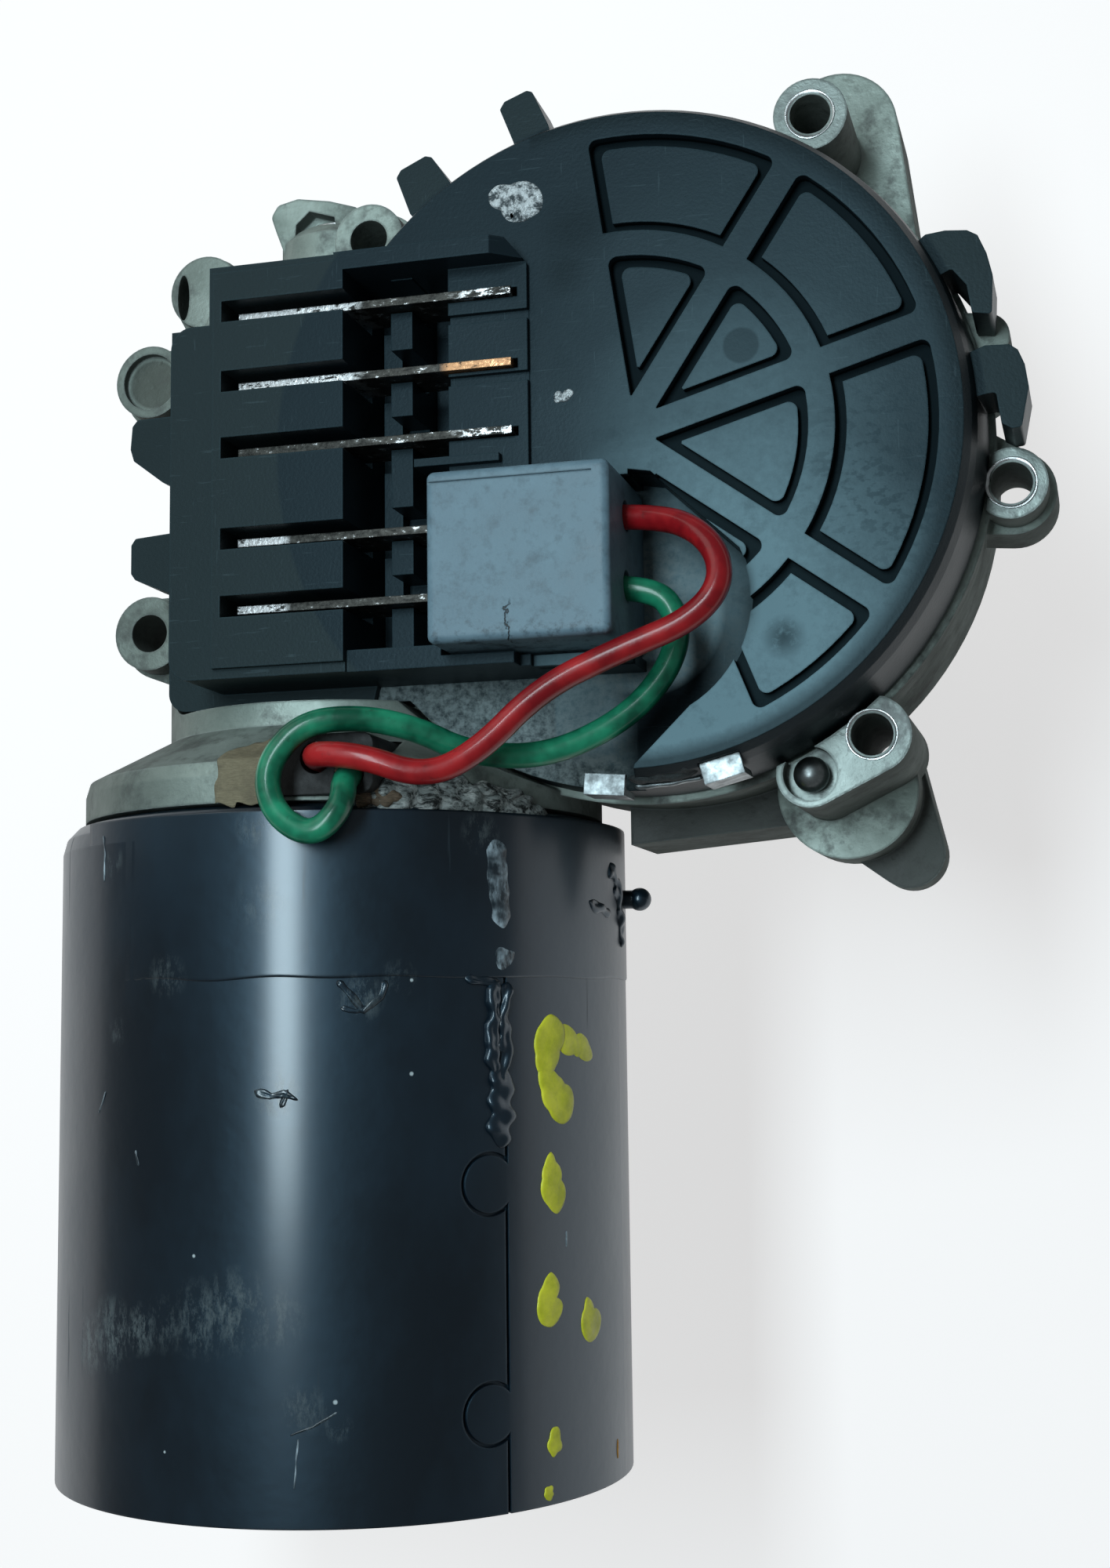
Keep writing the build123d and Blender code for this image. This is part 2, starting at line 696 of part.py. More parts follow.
def output_bush(low):
    """Sintered bush of the output shaft."""
    return ring(shaft_radius + bush_wall - seat_play, shaft_radius + running_play, low, low + bush_length)


def shaft_seal():
    """Sealing ring at the tower's mouth."""
    middle = shaft_radius + running_play + 0.03 + seal_radius
    return Pos(0, 0, seal_radius + journal_step + 0.4) * Torus(middle, seal_radius)


def end_bush():
    """Bush at the worm's far end."""
    return motor_ring(end_bush_radius - seat_play, worm_end_radius + running_play,
                      end_bush_front - end_bush_length, end_bush_front)


def thrust_ball():
    """Steel ball that takes the worm's push."""
    return Pos(motor_x, screw_seat - thrust_ball_radius, worm_z) * Sphere(thrust_ball_radius)


def thrust_screw():
    """Slotted screw that sets the worm's end play."""
    end = tunnel_end + 0.8
    screw = motor_disc(thrust_screw_radius - seat_play, screw_seat, end)
    return screw - Pos(motor_x, end, worm_z) * Box(12, 2.4, 1.2)


def front_bearing():
    """Ball bearing of the motor shaft, with its shields."""
    rear = bearing_front - bearing_width
    outer = motor_ring(bearing_radius - seat_play, bearing_radius - 2.2, rear, bearing_front)
    inner = motor_ring(motor_shaft_radius + 2.2, motor_shaft_radius + running_play, rear, bearing_front)
    shield = motor_ring(bearing_radius - 2, motor_shaft_radius + 2, rear + 0.6, bearing_front - 0.6)
    return outer + inner + shield


# ================================================================ motor
def motor_can():
    """Rolled steel tube with a turned-in front edge and an interlocked seam."""
    edge = can_radius - can_lip
    can = motor_turned(
        (spigot_radius + 0.1, can_front), (edge, can_front), (can_radius - 1.5, can_front - 0.5),
        (can_radius - 0.4, can_front - 1.7), (can_radius, can_front - can_lip), (can_radius, can_rear),
        (can_bore, can_rear), (can_bore, can_front - can_lip), (can_bore - 0.8, can_front - can_wall),
        (spigot_radius + 0.1, can_front - can_wall))
    line = Pos(0, (seam_front + can_rear) / 2) * Rectangle(seam_gap, seam_front - can_rear + 2)
    for place in seam_knobs:
        knob = Pos(-seam_knob_set, place) * Circle(seam_knob)
        core = Pos(-seam_knob_set, place) * Circle(seam_knob - seam_gap)
        line = line - Pos(0, place) * Rectangle(seam_gap * 2, seam_knob * 1.5) + (knob - core)
    line -= Pos(seam_knob, can_rear) * Rectangle(seam_knob * 2 - seam_gap, can_length * 2)
    cutter = about_motor(seam_turn) * Rot(0, 90, 0) * Pos(0, 0, can_radius - 4) * extrude(line, 6)
    return can - (cutter & motor_ring(can_radius + 1, can_radius - 0.5, can_rear - 1, can_front))


def can_end_cap():
    """Pressed end plate with a rim, its bearing seat turned into the can."""
    wall = can_bore - seat_play
    return motor_turned(
        (0, cap_rear), (wall - 1.5, cap_rear), (wall, cap_rear + 1.5), (wall, cap_front + cap_depth),
        (wall - cap_wall, cap_front + cap_depth), (wall - cap_wall, cap_front),
        (cap_boss_radius + 1, cap_front), (cap_boss_radius, cap_front + 1), (cap_boss_radius, boss_front),
        (rear_bush_radius, boss_front), (rear_bush_radius, cap_front), (0, cap_front))


def rear_bearing():
    """Self-aligning bush, rounded outside."""
    front = boss_front - 0.3
    rear = front - rear_bush_length
    middle = (rear + front) / 2
    outer = rear_bush_radius - seat_play
    bore = motor_shaft_radius + running_play
    return motor_turned(
        (bore, rear), (outer - 1.8, rear), (outer - 0.5, rear + 1.6), (outer, middle),
        (outer - 0.5, front - 1.6), (outer - 1.8, front), (bore, front))


def bearing_retainer():
    """Spring washer that holds the rear bush, with bent tongues."""
    plate = motor_ring(cap_boss_radius, 6.4, boss_front, boss_front + 0.6)
    for tongue in range(8):
        plate -= about_motor(tongue * 45) * Pos(7.2, boss_front, 0) * Box(3, 4, 1.2)
    return plate


def arc_piece(outer, inner, rear, front, middle, spread):
    """Part of a tube on the motor's axis, spread evenly to both sides of an angle."""
    reach = outer * 2
    half = math.radians(spread / 2)
    wedge = outline((0, 0), (reach * math.cos(half), -reach * math.sin(half)),
                    (reach * math.cos(half), reach * math.sin(half)))
    if spread > 90:
        wedge = outline((0, 0), (reach * math.cos(half), -reach * math.sin(half)), (reach, -reach * 0.6),
                        (reach, reach * 0.6), (reach * math.cos(half), reach * math.sin(half)))
    wedge = about_motor(middle) * Pos(0, rear - 1, 0) * Rot(-90, 0, 0) * extrude(wedge, front - rear + 2)
    return motor_ring(outer, inner, rear, front) & wedge


def magnet(side):
    """Ferrite shell."""
    return arc_piece(can_bore - seat_play, magnet_bore, magnet_rear, magnet_front, side, magnet_arc)


def magnet_clips():
    """Two spring clips that spread the magnets apart."""
    spread = 180 - magnet_arc - 1.0
    clips = []
    for side in (90, 270):
        shell = arc_piece(can_bore - seat_play, can_bore - 0.9, magnet_rear + 2, magnet_front - 2,
                          side, spread)
        for leg in (-1, 1):
            turn = side + leg * (spread / 2 - 0.9)
            bar = about_motor(turn) * Pos(can_bore - 3.2, (magnet_front + magnet_rear) / 2, 0)
            shell += bar * Box(5.5, magnet_length - 10, 0.8)
        clips.append(shell)
    return Compound(clips)


def brush_plate():
    """Insulating plate on the flange's spigot."""
    return motor_ring(can_bore - 0.4, commutator_radius + 1.9, plate_rear, spigot_rear)


def brush_place(side):
    """Local X runs out along a brush from the motor's axis."""
    return about_motor(brush_turn + side) * Pos(0, holder_middle, 0)


def brush_holder(side):
    """Brass box that guides a brush."""
    start = commutator_radius + 1.0
    middle = start + holder_length / 2
    box = Pos(middle, 0, 0) * Box(holder_length, brush_height + 2 * (brush_play + holder_wall),
                                  brush_width + 2 * (brush_play + holder_wall))
    room = Pos(middle - holder_wall, 0, 0) * Box(holder_length, brush_height + 2 * brush_play,
                                                 brush_width + 2 * brush_play)
    return brush_place(side) * (box - room)


def brush(side):
    """Carbon brush."""
    start = commutator_radius + brush_gap
    carbon = Pos(start + brush_length / 2, 0, 0) * Box(brush_length, brush_height, brush_width)
    return brush_place(side) * carbon


def brush_spring(side):
    """Coil spring between the brush and the holder's back."""
    start = commutator_radius + brush_gap + brush_length
    end = commutator_radius + 1.0 + holder_length - holder_wall
    wire = 0.35
    length = end - start - 2 * wire
    coil = Helix(length / 3, length, 1.7)
    section = Plane(origin=coil @ 0, z_dir=coil % 0) * RegularPolygon(wire, 6)
    spring = sweep(section, path=coil, is_frenet=True)
    return brush_place(side) * Pos(start + wire, 0, 0) * Rot(0, 90, 0) * spring


def choke(side):
    """Suppression coil on its rod, in the flange's room."""
    place = about_motor(side) * Pos(choke_reach, spigot_rear + choke_radius + 0.05, 0)
    return place * (Cylinder(1.6, 14) + Cylinder(choke_radius, 9.5))


def drain_stub():
    """Short stub on the can's side."""
    stub = Cylinder(stub_radius, stub_length) + Pos(0, 0, stub_length / 2) * Sphere(stub_knob)
    place = about_motor(stub_turn) * Pos(can_radius + stub_length / 2 - 0.1, stub_place, 0)
    stub = place * Rot(0, 90, 0) * stub
    return stub - motor_disc(can_radius + seat_play, stub_place - 5, stub_place + 5)


def can_rivet():
    """Flat rivet head on the can's side."""
    head = Cylinder(3.5, 1.3) - Pos(0, 0, 0.65) * Cylinder(1.2, 0.5)
    head = about_motor(rivet_turn) * Pos(can_radius + 0.25, rivet_place, 0) * Rot(0, 90, 0) * head
    return head - motor_disc(can_radius + seat_play, rivet_place - 5, rivet_place + 5)


# ================================================================ cover
def pocket_plan(radii, first, last, inset=0.0):
    """Outline between two spokes and two circles, its straight sides parallel to the spokes."""
    half = spoke_half + inset
    tip = 1.05 * half / math.sin(math.radians((first - last) / 2))
    inner = max(radii[0] + inset, tip)
    outer = radii[1] - inset

    def corner(radius, spoke, side):
        return polar(radius, spoke + side * math.degrees(math.asin(half / radius)))

    a = corner(outer, last, 1)
    b = corner(outer, first, -1)
    c = corner(inner, first, -1)
    d = corner(inner, last, 1)
    middle = (first + last) / 2
    outer_arc = ThreePointArc(a, polar(outer, middle), b)
    inner_arc = ThreePointArc(c, polar(inner, middle), d)
    plan = Sketch() + make_face([outer_arc, Line(b, c), inner_arc, Line(d, a)])
    far = plan.vertices().sort_by(lambda v: math.hypot(v.X, v.Y))[-2:]
    return fillet(far, pocket_corner)


def pocket_grooves():
    """Grooves round each pocket's plate, and the slight drop of the plates."""
    cuts = []
    for radii in (outer_pocket, inner_pocket):
        for first, last in zip(spoke_angles, spoke_angles[1:]):
            plan = pocket_plan(radii, first, last)
            plate = pocket_plan(radii, first, last, groove)
            cuts.append(prism(plan - plate, cover_face - groove_depth, cover_face + 1))
            cuts.append(prism(plate, cover_face - plate_drop, cover_face + 1))
    return cuts


def pit_plan():
    """Outline of the lead pit, open towards the motor."""
    right = plug_right + 0.1
    arc = ThreePointArc((11.3, -12.0), (12.0, -19.6), (6.2, -27.3))
    corners = [(6.2, -27.3), (0.6, -32.8), (-3.0, -48.0), (-34.0, -48.0), (-28.0, block_back),
               (right, block_back), (right, plug_front + 0.8), (2.7, -3.8), (11.3, -12.0)]
    return make_face([arc, Polyline(*corners)])


def cover_shell():
    """Round part of the cover with its skirt."""
    shell = gear_turned(
        (0, joint_z), (cover_base_radius, joint_z), (cover_shoulder_radius, above(-3.0)),
        (cover_shoulder_radius - 0.4, above(-1.2)), (cover_top_radius, cover_face), (0, cover_face))
    return shell - disc(cover_shoulder_radius - skirt_wall, joint_z - 1, above(-cover_wall))


def terminal_block():
    """Raised end of the cover: banks, walls and foot, before the well is cut."""
    body = prism(foot_plan(), joint_z, above(foot_top))
    strip = Pos(block_left / 2, (strip_front + block_back) / 2) * RectangleRounded(
        -block_left, strip_front - block_back, strip_round)
    body += prism(strip, joint_z, above(block_top - 0.6)) & block(
        block_left - 1, well_left, block_back - 1, strip_front + 1, joint_z, above(block_top))
    body += block(block_step - 0.6, well_left, block_back, block_front, joint_z, above(block_top - 0.6))
    body += block(block_step, well_left, block_back + 1.0, block_front - 0.8, joint_z, above(block_top))
    body += block(well_left, block_right, block_back, block_front, joint_z, above(shelf_top))
    slope = outline((well_left - 1, above(0)), (well_left - 1, above(block_top)),
                    (block_right - 3, above(block_top)), (block_right + 1.5, above(0)))
    body += Pos(0, block_front, 0) * extrude(Rot(90, 0, 0) * slope, block_front - well_front)
    left, right, back = wall_cut
    corner = outline((left, block_front + 0.1), (right, block_front + 0.1), (right, back))
    body -= prism(corner, above(0), above(block_top + 1))
    return body + block(well_left - 1, -10.6, block_back, well_back, joint_z, above(block_top - 1.0))


def comb():
    """Rib across the well with a gap at each blade, and the lower step beside it."""
    low = above(-well_depth)
    half = blade_thickness / 2 + comb_play
    rib = block(comb_left, comb_right, well_back, well_front, low, above(comb_top))
    for row in blade_rows:
        rib -= block(comb_left - 3, comb_right + 1, row - half, row + comb_gap, above(-6), above(3))
    for row, front_row in zip(blade_rows[1:], blade_rows):
        reach = comb_step_share * (front_row - row)
        rib += block(comb_left - comb_step, comb_left, row + half, row + reach, low, above(comb_step_top))
    return rib


def plug_ledge():
    """Low lip in front of the plug."""
    left, right, back, front = ledge
    return block(left, right, back, front, above(-well_depth), above(ledge_top))


def blade_slots():
    """Slots that hold the blades in both banks of the well."""
    floor = above(blade_top - blade_width)
    high = above(9)
    wide = blade_slot / 2
    close = blade_thickness / 2 + slot_play
    cuts = [block(slot_left, well_left + 1, row - wide, row + wide, floor, high) for row in blade_rows]
    for row in blade_rows[:3]:
        cuts.append(block(well_right - 1, blade_right + 0.5, row - close, row + close, floor, high))
    for row in (13.3, 6.9):
        low = above(shelf_top - 0.7)
        cuts.append(block(well_right - 1, block_right + 0.2, row - 0.5, row + 0.5, low, high))
    return cuts


def hooks_and_tabs():
    """Snap hooks at the right, two tabs at the top and two at the left, drawn from their own edge."""
    low = joint_z + 0.3
    high = joint_z + 0.3 + tab_height
    right = (cover_base_radius, 0)
    top = (0, cover_base_radius)
    left = (foot_left, 0)
    hook = outline_from(
        right, (-6.3, 17.4), (-5.0, 18.4), (-3.1, 18.6), (-1.0, 18.4), (0.0, 17.8), (0.8, 15.9), (1.3, 13.7),
        (1.1, 9.8), (-0.8, 10.1), (-1.2, 12.9), (-2.6, 14.7), (-4.1, 14.0), (-5.3, 13.0))
    low_hook = outline_from(
        right, (-3.3, 5.4), (-1.8, 5.9), (0.3, 6.7), (2.6, 6.6), (3.4, 6.0), (4.0, 4.5), (4.3, 2.3),
        (3.5, -1.6), (2.6, -1.7), (1.6, -1.1), (1.2, 2.0), (0.1, 1.9), (-3.1, 1.2))
    tab = outline_from(
        top, (-7.7, -2.2), (-8.1, -0.4), (-9.8, 3.4), (-10.4, 3.6), (-12.8, 2.7), (-13.3, 1.9),
        (-11.9, -1.7), (-11.4, -3.3))
    low_tab = outline_from(
        top, (-17.8, -6.9), (-18.9, -5.1), (-20.8, -2.3), (-21.5, -2.1), (-24.2, -3.3), (-24.7, -4.1),
        (-23.2, -8.2), (-22.0, -9.7))
    left_tab = outline_from(
        left, (2.6, 7.4), (-2.6, 7.3), (-3.2, 6.6), (-3.4, 4.1), (-3.0, 2.8), (0.4, 0.2), (2.6, -0.8))
    low_left_tab = outline_from(
        left, (2.6, -5.3), (-2.7, -5.7), (-3.2, -6.4), (-3.2, -9.5), (-2.7, -10.2), (2.6, -12.4))
    parts = Part()
    for plan in (hook, low_hook, tab, low_tab, left_tab, low_left_tab):
        parts += prism(fillet(plan.vertices(), tab_round), low, high)
    return parts


def clip_seats():
    """Flats under the two steel clips."""
    return [Rot(0, 0, turn) * block(clip_in, 40, -clip_width / 2, clip_width / 2, above(-clip_drop), above(2))
            for turn in clip_turns]


def gear_cover():
    """Moulded cover: round face with pockets, lead pit, terminal block, hooks and tabs."""
    cover = cover_shell()
    for cut in pocket_grooves():
        cover -= cut
    cover += terminal_block()
    pit = pit_plan()
    cover -= prism(pit, above(-pit_floor), above(10))
    inside = pit & base_plan(-0.6)
    cover += prism(inside, above(-pit_floor - pit_plate), above(-pit_floor))
    edge = (offset(pit, 1.6) - pit) & Circle(cover_shoulder_radius - 1)
    cover += prism(edge, above(-pit_floor - pit_plate), above(-cover_wall))
    cover += block(well_right, plug_right + 0.1, block_back, plug_front + 1.2, joint_z + 0.5, plug_low)
    cover -= block(plug_left - 0.1, plug_right + 0.1, plug_back - 0.3, plug_front + 0.3, plug_low, above(10))
    cover -= block(well_left, well_right, well_back, well_front, above(-well_depth), above(10))
    for cut in blade_slots():
        cover -= cut
    cover += comb()
    cover += plug_ledge()
    cover += hooks_and_tabs()
    cover -= disc(ball_radius + running_room, joint_z - 1, above(1), *ball_hole)
    for seat in clip_seats():
        cover -= seat
    return cover


def cover_clip(turn):
    """Bent steel clip over the cover's edge."""
    low = above(-clip_drop)
    half = clip_width / 2 - 0.05
    back = cover_base_radius + 0.05
    top = block(clip_in + 0.05, back + clip_steel, -half, half, low, low + clip_steel)
    leg = block(back, back + clip_steel, -half, half, above(clip_low), low + clip_steel)
    return Rot(0, 0, turn) * (top + leg)


def terminal_blade(row, right):
    """Flat blade standing on its edge."""
    low = above(blade_top - blade_width)
    half = blade_thickness / 2
    return block(blade_left, right, row - half, row + half, low, above(blade_top))


def park_finger(reach):
    """Spring contact under the cover that wipes the park disc."""
    low = gear_high - 0.6 + 0.2
    under = above(-cover_wall)
    foot = block(reach - 1.2, reach + 1.2, 3.0, 16.0, under - 0.5, under)
    leaf = outline((4.0, under - 0.5), (4.0, under), (3.4, under), (-7.0, low + 0.5), (-8.5, low + 0.5),
                   (-8.5, low), (-7.2, low))
    leaf = Pos(reach - 1.2, 0, 0) * extrude(Rot(0, 0, 90) * Rot(90, 0, 0) * leaf, 2.4)
    return foot + leaf


# ================================================================ plug and leads
def motor_plug():
    """Plug housing with a cavity for each blade and a lead hole behind it."""
    body = block(plug_left, plug_right, plug_back, plug_front, plug_low, above(plug_top))
    body = fillet(body.edges().filter_by(Axis.Z) + body.edges().group_by(Axis.Z)[-1], plug_round)
    body -= block(plug_left - 1, plug_right - 1.6, plug_front - 1.3, plug_front - 1.1,
                  above(plug_top - 0.25), above(plug_top + 1))
    middle = above(blade_top - blade_width / 2)
    for row in plug_rows:
        body -= block(plug_left - 1, plug_right - 4.5, row - cavity_width / 2, row + cavity_width / 2,
                      middle - cavity_height / 2, middle + cavity_height / 2)
        hole = Pos(plug_right - 2.5, row, lead_height) * Rot(0, 90, 0) * Cylinder(lead_radius + lead_room, 7)
        body -= hole
    return body


def receptacle(row):
    """Brass channel that grips a blade, with its crimp on the lead."""
    middle = above(blade_top - blade_width / 2)
    high = cavity_height / 2 - 0.1
    outer = 1.6
    left = plug_left + 1.0
    right = plug_right - 6.0
    shell = block(left, right, row - outer, row + outer, middle - high, middle + high)
    shell -= block(left - 1, right - 1.5, row - outer + receptacle_wall, row + outer - receptacle_wall,
                   middle - high + receptacle_wall, middle + high - receptacle_wall)
    crimp = Pos(right + 0.7, row, lead_height) * Rot(0, 90, 0) * Cylinder(lead_radius, 1.6)
    return shell + crimp


def lead(route, name):
    """Round lead along straight runs joined by tangent arcs."""
    points = [Vector(x, y, above(rise)) for x, y, rise in route]
    radii = []
    for before, corner, after in zip(points, points[1:], points[2:]):
        turn = math.radians((corner - before).get_angle(after - corner))
        shorter = min((corner - before).length, (after - corner).length)
        radii.append(0.45 * shorter / math.tan(turn / 2))
    print(name, "radii", [round(radius, 1) for radius in radii])
    path = FilletPolyline(*points, radius=radii)
    tube = sweep(Plane(origin=path @ 0, z_dir=path % 0) * Circle(lead_radius), path=path)
    share = tube.volume / (path.length * math.pi * lead_radius ** 2)
    print(name, "length", round(path.length, 1), "volume ratio", round(share, 4))
    return tube


def lead_grommet():
    """Rubber block in the flange with a hole for each lead."""
    left, right, back, front = grommet_box
    play = 0.05
    body = block(left + play, right - play, back + play, front - play,
                 above(grommet_foot), above(grommet_top))
    body = fillet(body.edges().filter_by(Axis.Z), 1.2)
    for route in (red_route, green_route):
        x, y, rise = route[-1]
        body -= disc(lead_radius + lead_room, above(grommet_foot) - 1, above(grommet_top) + 1, x, y)
    return body


# ================================================================ all nodes
save("gear_housing", gear_housing())
save("cover_gasket", cover_gasket())
save("gear_cover", gear_cover())
save("pad_ball", pad_ball())
save("output_bush_lower", output_bush(seal_seat))
save("output_bush_upper", output_bush(floor_z - bush_length))
save("shaft_seal", shaft_seal())
save("end_bush", end_bush())
save("thrust_ball", thrust_ball())
save("thrust_screw", thrust_screw())
save("front_bearing", front_bearing())

save("motor_can", motor_can())
save("can_end_cap", can_end_cap())
save("rear_bearing", rear_bearing())
save("bearing_retainer", bearing_retainer())
save("magnet_left", magnet(180))
save("magnet_right", magnet(0))
save("magnet_clips", magnet_clips())
save("brush_plate", brush_plate())
for number, side in enumerate((0, 180), 1):
    save(f"brush_holder_{number}", brush_holder(side))
    save(f"brush_{number}", brush(side))
    save(f"brush_spring_{number}", brush_spring(side))
    save(f"choke_{number}", choke(brush_turn + 90 + side))
save("drain_stub", drain_stub())
save("can_rivet", can_rivet())

save("armature_shaft", armature_shaft())
save("armature_core", armature_core())
save("armature_windings", armature_windings())
save("commutator", commutator())

save("gear_wheel", gear_wheel())
save("output_shaft", output_shaft())
save("shaft_clip", shaft_clip())
save("park_disc", park_disc())
save("thrust_washer", thrust_washer())

for number, turn in enumerate(clip_turns, 1):
    save(f"cover_clip_{number}", cover_clip(turn))
for number, row in enumerate(blade_rows, 1):
    end = blade_right if number < 4 else plug_left + blade_in_plug
    save(f"terminal_blade_{number}", terminal_blade(row, end))
for number, reach in enumerate(finger_reaches, 1):
    save(f"park_finger_{number}", park_finger(reach))
save("motor_plug", motor_plug())
for number, row in enumerate(plug_rows, 1):
    save(f"plug_terminal_{number}", receptacle(row))
save("red_lead", lead(red_route, "red_lead"))
save("green_lead", lead(green_route, "green_lead"))
save("lead_grommet", lead_grommet())
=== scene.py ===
import bmesh
import bpy
import json
import math
import numpy as np
from mathutils import Matrix


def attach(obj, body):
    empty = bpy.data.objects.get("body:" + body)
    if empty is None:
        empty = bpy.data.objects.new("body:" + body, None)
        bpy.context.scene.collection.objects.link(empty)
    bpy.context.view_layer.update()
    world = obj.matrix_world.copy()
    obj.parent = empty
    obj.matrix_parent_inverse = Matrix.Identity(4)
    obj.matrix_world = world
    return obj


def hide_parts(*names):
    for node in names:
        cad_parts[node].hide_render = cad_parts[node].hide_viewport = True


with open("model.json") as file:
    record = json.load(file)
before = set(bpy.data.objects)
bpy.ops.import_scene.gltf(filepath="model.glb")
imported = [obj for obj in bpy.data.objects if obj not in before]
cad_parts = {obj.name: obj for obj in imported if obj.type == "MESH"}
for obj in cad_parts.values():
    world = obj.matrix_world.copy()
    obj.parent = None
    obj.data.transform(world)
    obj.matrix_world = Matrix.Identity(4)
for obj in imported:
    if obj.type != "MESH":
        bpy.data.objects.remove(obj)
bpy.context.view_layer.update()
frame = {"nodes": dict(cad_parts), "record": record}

# Wiper gear motor. Lengths in this file are millimetres, and become metres where a mesh,
# a curve, a lamp or a node tree is made.
MM = 0.001
BODY = "housing"
FACE = 58.0                     # the cover's round face above the origin
DISC = 33.5                     # its radius
COVER_WALL = 35.1               # radius of the wall under it
BLOCK_SIDE = -9.2               # the terminal block ends at this X
GROOVE_TOP = FACE - 0.95        # painted shade fills the grooves round the pockets between these heights
GROOVE_LOW = FACE - 1.95
PIT_FLOOR = FACE - 7.0          # floor of the pit that the leads cross
ROUND_WELL = (0.3, -16.8, 7.9)  # the pit's round end: X, Y and radius; a painted shadow lies along its wall
HIGH_PAD, LOW_PAD = 50.0, 48.0  # machined tops of the bosses beside the cover
LEDGE = 35.45                   # up-facing ledges of the casting below this height get painted shade
SPOT_FACE = (-56.9, 14.3, 45.4)     # drilled top of the middle left boss
AXLE_X, AXLE_Z = -36.7, 38.0    # the can's axis
CAN = 30.5                      # the can's radius
CAN_DEGREES = math.degrees(1 / CAN)     # a millimetre round the can
FLANGE_Y = (-33.0, -31.6, -27.0)        # the flange narrows from the can's rim to the neck
FLANGE_RADIUS = (28.2, 27.8, 19.2)
SHAFT_TIP = -24.0               # lowest point
LEAD = 2.5                      # a lead's diameter
LEAD_MOUTH = 5.2                # height above FACE at which the leads enter the flange
SUNK = 0.12                     # how deep an underside sits in what carries it
EDGE_UP = (0.9, 0.44)           # outward and upward share of the direction off the cover's shoulder

# Dust and a painted sheen on the round face, lightest low on the right where the lamp's sheen falls: X, Y,
# reach, even core and weight
DUST_AND_SHEEN_FALLS = ((9, -27, 29, 11, 1.4), (11, -1, 17, 5, 0.5), (20, 8, 30, 6, 0.14))
# Scuffs on the can: degrees round it from +X towards +Z, place along it, reach and strength
CAN_SCUFFS = (
    (125, -88.3, 3.4, 1.0), (118, -87.0, 4.0, 1.0), (110, -86.4, 2.8, 0.9), (104, -85.6, 3.2, 0.45),
    (96, -85.0, 4.2, 0.6), (89, -84.3, 4.6, 0.7), (82, -84.8, 3.4, 0.5), (77, -93.0, 2.6, 0.5),
    (71, -94.8, 1.6, 0.5), (82, -64.0, 2.6, 0.9), (67, -55.0, 2.6, 0.7), (104, -52.6, 2.6, 0.5),
    (119, -41.0, 1.8, 0.6), (117, -58.0, 1.6, 0.5), (86, -38.6, 2.2, 0.6), (85, -46.0, 3.0, 0.35),
    (44, -39.0, 2.4, 0.5), (60, -53.2, 2.0, 0.4))
# Bare specks on the can: degrees, place along it, reach
CAN_SPECKS = (
    (57.6, -53.4, 0.2), (57.7, -62.3, 0.24), (97.7, -79.2, 0.2), (103.7, -97.5, 0.16), (71.4, -92.5, 0.26))


# ---------------------------------------------------------------- camera and studio
def link(thing):
    """Puts an object in the scene."""
    bpy.context.scene.collection.objects.link(thing)
    return thing


def metres(place):
    """A place, or a size, given in millimetres."""
    return [value * MM for value in place]


def turn(axis, degrees):
    """Rotation about an axis."""
    return Matrix.Rotation(math.radians(degrees), 3, axis)


def make_camera():
    """A long lens nearly square on the cover, from a little to its right and below."""
    view = turn("Z", 0.739) @ turn("X", -6.647) @ turn("Y", -15.139)
    data = bpy.data.cameras.new("camera")
    data.sensor_fit = "VERTICAL"
    data.sensor_height = 36
    data.lens = 48.538
    data.clip_start = 10 * MM
    camera = link(bpy.data.objects.new("camera", data))
    place = Matrix.Translation(metres((46.292, -58.364, 256.529)))
    camera.matrix_world = place @ view.transposed().to_4x4()
    bpy.context.scene.camera = camera


def lamp(name, size, place, aim, watts, tint):
    """A soft rectangular lamp, its face turned from place towards aim."""
    data = bpy.data.lights.new(name, "AREA")
    data.shape = "RECTANGLE"
    data.size, data.size_y = metres(size)
    data.energy = watts
    data.color = tint
    thing = link(bpy.data.objects.new(name, data))
    away = np.subtract(place, aim)
    away = away / np.linalg.norm(away)
    side = np.cross((0, 1, 0), away)
    side = side / np.linalg.norm(side)
    turned = Matrix(np.stack([side, np.cross(away, side), away], axis=1).tolist()).to_4x4()
    thing.matrix_world = Matrix.Translation(metres(place)) @ turned


def make_studio():
    """Pale floor under the shaft's tip, an even world and two soft lamps."""
    scene = bpy.context.scene
    scene.view_settings.view_transform = "Standard"
    world = bpy.data.worlds.new("studio")
    world.use_nodes = True
    scene.world = world
    sky = world.node_tree.nodes["Background"].inputs
    sky["Color"].default_value = tone(0.90, 0.97, 1.0)
    sky["Strength"].default_value = 0.13

    half, low = 3000, SHAFT_TIP - 0.3
    corners = [metres((x, y, low)) for x, y in ((-half, -half), (half, -half), (half, half), (-half, half))]
    mesh = bpy.data.meshes.new("floor")
    mesh.from_pydata(corners, [], [(0, 1, 2, 3)])
    floor = link(bpy.data.objects.new("floor", mesh))
    pale = Finish("pale_floor", {"Base Color": tone(0.64, 0.60, 0.59), "Roughness": 0.9})
    rays = pale.node("LightPath").outputs
    seen = pale.most(rays["Is Camera Ray"], rays["Is Glossy Ray"], rays["Is Transmission Ray"])
    pale.feed(pale.shader.inputs["Emission Color"], tone(1, 1, 1))
    pale.feed(pale.shader.inputs["Emission Strength"], pale.times(seen, 0.64))
    mesh.materials.append(pale.material)

    lamp("overhead", (66, 250), (-52, 24, 400), (-36, -40, 68), 0.86, (0.76, 0.93, 1.0))
    lamp("fill", (300, 300), (-300, 260, 330), (0, 0, 50), 0.30, (0.95, 1.0, 0.97))


